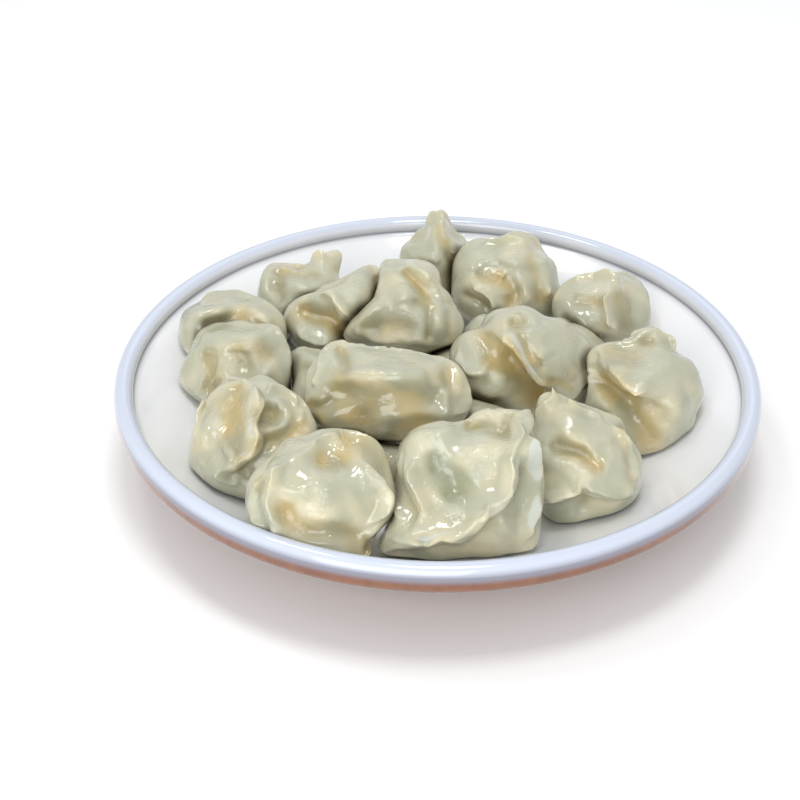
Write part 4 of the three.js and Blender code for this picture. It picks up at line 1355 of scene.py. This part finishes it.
def add_flap(warm_reflection_mask, tree, view, one, chance):
    """Adds a thin pinched edge to a dumpling: a sheet that thins toward its faintly wavy free edge."""
    base = spread(one["base"], FLAP_STEPS)
    edge = spread(one["edge"], FLAP_STEPS)
    along = np.linspace(0, 1, FLAP_STEPS)
    ends = smooth_step(-0.04, 0.16, along) * smooth_step(-0.04, 0.16, 1 - along)
    wave = np.zeros(FLAP_STEPS)
    length = np.sum(np.hypot(*np.diff(edge, axis=0).T))
    for wavelength, height in FLAP_WAVES:
        wave += height * np.sin(along * length * 2 * math.pi / wavelength + chance.uniform(0, 6.3))
    swing = np.sin(along * length * 2 * math.pi / FLAP_SWING + chance.uniform(0, 6.3))
    lift = one["lift"] * ends * (1 + 0.25 * swing)
    wave += 0.5 * swing
    out = edge - base
    out /= np.maximum(np.linalg.norm(out, axis=1), 1e-6)[:, None]
    edge = base + (edge - base) * (0.3 + 0.7 * ends)[:, None] + out * (wave * ends)[:, None]
    base_depth = evened(depths_under(tree, view, base), 3)
    edge_depth = depths_under(tree, view, edge)
    slack = FLAP_SLACK * MM
    edge_depth = evened(np.clip(edge_depth, base_depth - slack, base_depth + slack), 6)
    inner = placed(view, base, base_depth + FLAP_ROOT * MM)
    outer = placed(view, edge, edge_depth - (lift + 0.4 * wave) * MM)
    toward = -view["forward"]
    rows = []
    for row in range(FLAP_ROWS + 1):
        share = row / FLAP_ROWS
        bulge = 4 * share * (1 - share) * FLAP_ARCH * np.linalg.norm(outer - inner, axis=1)
        rows.append(inner * (1 - share) + outer * share + toward * bulge[:, None])
    rows = np.array(rows)
    across = np.gradient(rows, axis=0)
    normal = np.cross(np.gradient(rows, axis=1), across)
    normal /= np.maximum(np.linalg.norm(normal, axis=2), 1e-9)[:, :, None]
    normal *= np.sign(np.sum(normal @ toward))
    shares = np.linspace(0, 1, FLAP_ROWS + 1)
    thick = one["thick"] * (1.0 - FLAP_THINNING * shares)
    under = rows - normal * (thick * MM)[:, None, None]
    top = [[warm_reflection_mask.verts.new(p) for p in row] for row in rows]
    bottom = [[warm_reflection_mask.verts.new(p) for p in row] for row in under]
    for row in range(FLAP_ROWS):
        for step in range(FLAP_STEPS - 1):
            add_quad(warm_reflection_mask, top[row], top[row + 1], step)
            near = bottom[row]
            far = bottom[row + 1]
            warm_reflection_mask.faces.new([near[step], far[step], far[step + 1], near[step + 1]])
    for step in range(FLAP_STEPS - 1):
        add_quad(warm_reflection_mask, bottom[0], top[0], step)
        add_quad(warm_reflection_mask, top[-1], bottom[-1], step)
    for row in range(FLAP_ROWS):
        warm_reflection_mask.faces.new([top[row][0], top[row + 1][0], bottom[row + 1][0], bottom[row][0]])
        warm_reflection_mask.faces.new([bottom[row][-1], bottom[row + 1][-1], top[row + 1][-1], top[row][-1]])


def add_flaps(skin, view, flaps, seed):
    """Adds every pinched edge of a dumpling to its mesh, still as loose closed sheets."""
    tree = tree_of([skin])
    chance = random.Random(seed)
    sheets = bmesh.new()
    for one in flaps:
        add_flap(sheets, tree, view, one, chance)
    bmesh.ops.recalc_face_normals(sheets, faces=sheets.faces)
    sheets.from_mesh(skin.data)
    sheets.to_mesh(skin.data)
    sheets.free()


def melt_together(skin, grain):
    """Makes one closed skin of a dumpling and its sheets, and rounds where they meet."""
    remesh = skin.modifiers.new("one skin", "REMESH")
    remesh.mode = "VOXEL"
    remesh.voxel_size = grain * MM
    whole = apply_modifiers(skin)
    ends, counts = joined_ends(whole)
    places = vertex_places(whole)
    for _ in range(MELT_PASSES):
        places = places + MELT_IN * (neighbour_mean(places, ends, counts) - places)
        places = places - MELT_OUT * (neighbour_mean(places, ends, counts) - places)
    for _ in range(LAST_PASSES):
        places = places + LAST_STEP * (neighbour_mean(places, ends, counts) - places)
    move_vertices(whole, places)


def soften(skin, seed):
    """Gives a skin the shallow dents and swells of soft dough."""
    places = vertex_places(skin.data)
    outward = vertex_directions(skin.data)
    shift = Vector((17.3 * seed, 5.1 * seed, 0))
    lift = np.empty(len(places))
    for index, place in enumerate(places / MM):
        lift[index] = sum(height * noise_at(Vector(place / size) + shift) for size, height in DENTS)
    move_vertices(skin.data, places + outward * lift[:, None] * MM)


def store_looks(skin, view, folds, neighbours):
    """Works out where a dumpling's skin dips, for painted tan shade in its hollows and creases;
    where it is thin or full; which way it faces, for painted shading by facing; and where it nears
    another, for painted shade in the gaps.
    """
    mesh = skin.data
    places = vertex_places(mesh)
    outward = vertex_directions(mesh)
    ends, counts = joined_ends(mesh)
    softened = places
    dips = []
    for passes in DIP_PASSES:
        softened = neighbour_mean(softened, ends, counts, passes)
        dips.append(np.sum((softened - places) * outward, axis=1) / MM)
    near, far = dips
    # How deep the skin lies in a hollow, for the painted tan shade there.
    hollow_shade = 0.4 * smooth_step(0.0, 0.5, near) + 0.7 * smooth_step(-0.2, 2.0, far)
    tree = tree_of([skin])
    depth = np.empty(len(places))
    for index, (place, way) in enumerate(zip(places, outward)):
        hit = tree.ray_cast(Vector(place - way * 0.05 * MM), Vector(-way))
        depth[index] = MOST_DEPTH if hit[3] is None else hit[3] / MM
    looks = neighbour_mean(np.stack([hollow_shade, depth, depth], 1), ends, counts, THIN_PASSES)
    store(mesh, "thin", 1 - smooth_step(1.5, 8.0, looks[:, 1]))
    looks = neighbour_mean(looks, ends, counts, HOLLOW_PASSES)
    store(mesh, "hollow_shade", np.clip(looks[:, 0], 0, 1))
    looks = neighbour_mean(looks, ends, counts, FULL_PASSES)
    store(mesh, "full", smooth_step(8.0, 20.0, looks[:, 1]))
    # Which way the skin faces, for the painted shading by facing.
    facing_shade = neighbour_mean(outward, ends, counts, LEVEL_PASSES)
    store(mesh, "facing_shade", smooth_step(-0.35, 0.9, facing_shade[:, 2] / np.linalg.norm(facing_shade, axis=1)))
    # Painted shade in the gaps: full where another dumpling lies within TOUCHING millimetres, gone
    # beyond CLOSE.
    gap = np.array([neighbours.find_nearest(Vector(p))[3] for p in places]) / MM
    shades = np.stack([1 - smooth_step(TOUCHING, CLOSE, gap)] * 3, 1)
    store(mesh, "gap_shade", neighbour_mean(shades, ends, counts, CLOSE_PASSES)[:, 0])
    # Where the creases get painted tan shade, and where the herbs show through.
    _, _, tint, facing = fold_shape(places, outward, view, folds)
    store(mesh, "crease_shade", np.clip(tint * facing, 0, 1))
    store(mesh, "herbs", np.clip(-tint * facing, 0, 1))


def make_dumplings(material):
    """Every dumpling: a fine skin that fills its place in the heap, with its own folds."""
    cad = {name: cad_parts["dumpling_" + name] for name in MIDDLES}
    for number, (name, middle) in enumerate(MIDDLES.items()):
        skin = fine_skin(name)
        relax(skin)
        neighbours = [piece for other, piece in cad.items() if other != name]
        swell(skin, tree_of([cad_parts["bowl"]] + neighbours))
        centre = np.array(middle) * MM
        view = seen_from(CAMERA_PLACE, (CAMERA_AIM - CAMERA_PLACE).normalized(), centre)
        eye = centre * (1, 1, 0) + np.array(BACK_EYE)
        behind = seen_from(eye, centre - eye, centre)
        press_folds(skin, view, FOLDS.get(name, []))
        press_folds(skin, behind, FOLDS[BACK_LOOKS[number % len(BACK_LOOKS)]], spared=view)
        add_flaps(skin, view, FLAPS.get(name, []), seed=300 + number)
        melt_together(skin, GRAINS.get(name, OTHER_GRAIN))
        soften(skin, seed=number)
        store_looks(skin, view, FOLDS.get(name, []), tree_of(neighbours))
        skin.data.materials.append(material)
        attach(skin, "root")
        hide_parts("dumpling_" + name)


def add_light(name, place, aim, size, power, colour):
    """A soft square lamp that points at a place, all in metres."""
    lamp = bpy.data.lights.new(name, "AREA")
    lamp.shape = "RECTANGLE"
    lamp.size, lamp.size_y = size
    lamp.energy = power
    lamp.color = linear(colour)[:3]
    holder = bpy.data.objects.new(name, lamp)
    holder.location = place
    holder.rotation_euler = (Vector(aim) - Vector(place)).to_track_quat("-Z", "Y").to_euler()
    bpy.context.collection.objects.link(holder)


def set_stage():
    """The pale floor, the soft studio light and the camera."""
    bpy.ops.mesh.primitive_plane_add(size=6.0)
    floor = bpy.context.object
    floor.name = "pale_floor"
    material, tree = new_material("matt_paper")
    looks = {"Base Color": linear("#F4F4F3"), "Roughness": 0.9, "Specular IOR Level": 0.2}
    finish_material(tree, looks)
    floor.data.materials.append(material)
    world = bpy.data.worlds.new("soft_room")
    world.use_nodes = True
    background = world.node_tree.nodes["Background"].inputs
    background["Color"].default_value = linear("#F4F5F9")
    background["Strength"].default_value = 0.8
    bpy.context.scene.world = world
    add_light("ceiling_lamp", (0.02, -0.12, 0.95), (0, 0, 0), (0.24, 0.24), 2.4, "#FFFFFF")
    add_light("second_lamp", (-0.3, 0.1, 0.85), (0, 0, 0), (0.15, 0.15), 0.8, "#FFFFFF")
    add_light("window_behind", (0.1, 0.75, 0.8), (0, 0, 0.03), (0.8, 0.5), 1.0, "#F2F6FF")
    add_light("pale_wall_in_front", (-0.25, -1.1, 0.5), (0, 0, 0), (1.0, 1.0), 10.0, "#FFFFFF")
    camera = bpy.data.cameras.new("camera")
    camera.lens = LENS_MM
    camera.sensor_width = SENSOR_MM
    camera.clip_start = 0.01
    holder = bpy.data.objects.new("camera", camera)
    holder.location = CAMERA_PLACE
    holder.rotation_euler = (CAMERA_AIM - CAMERA_PLACE).to_track_quat("-Z", "Y").to_euler()
    bpy.context.collection.objects.link(holder)
    bpy.context.scene.camera = holder
    bpy.context.scene.view_settings.view_transform = "Standard"


bowl = make_bowl(glazed_stoneware())
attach(bowl, "root")
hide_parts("bowl")
make_dumplings(boiled_dough())
set_stage()
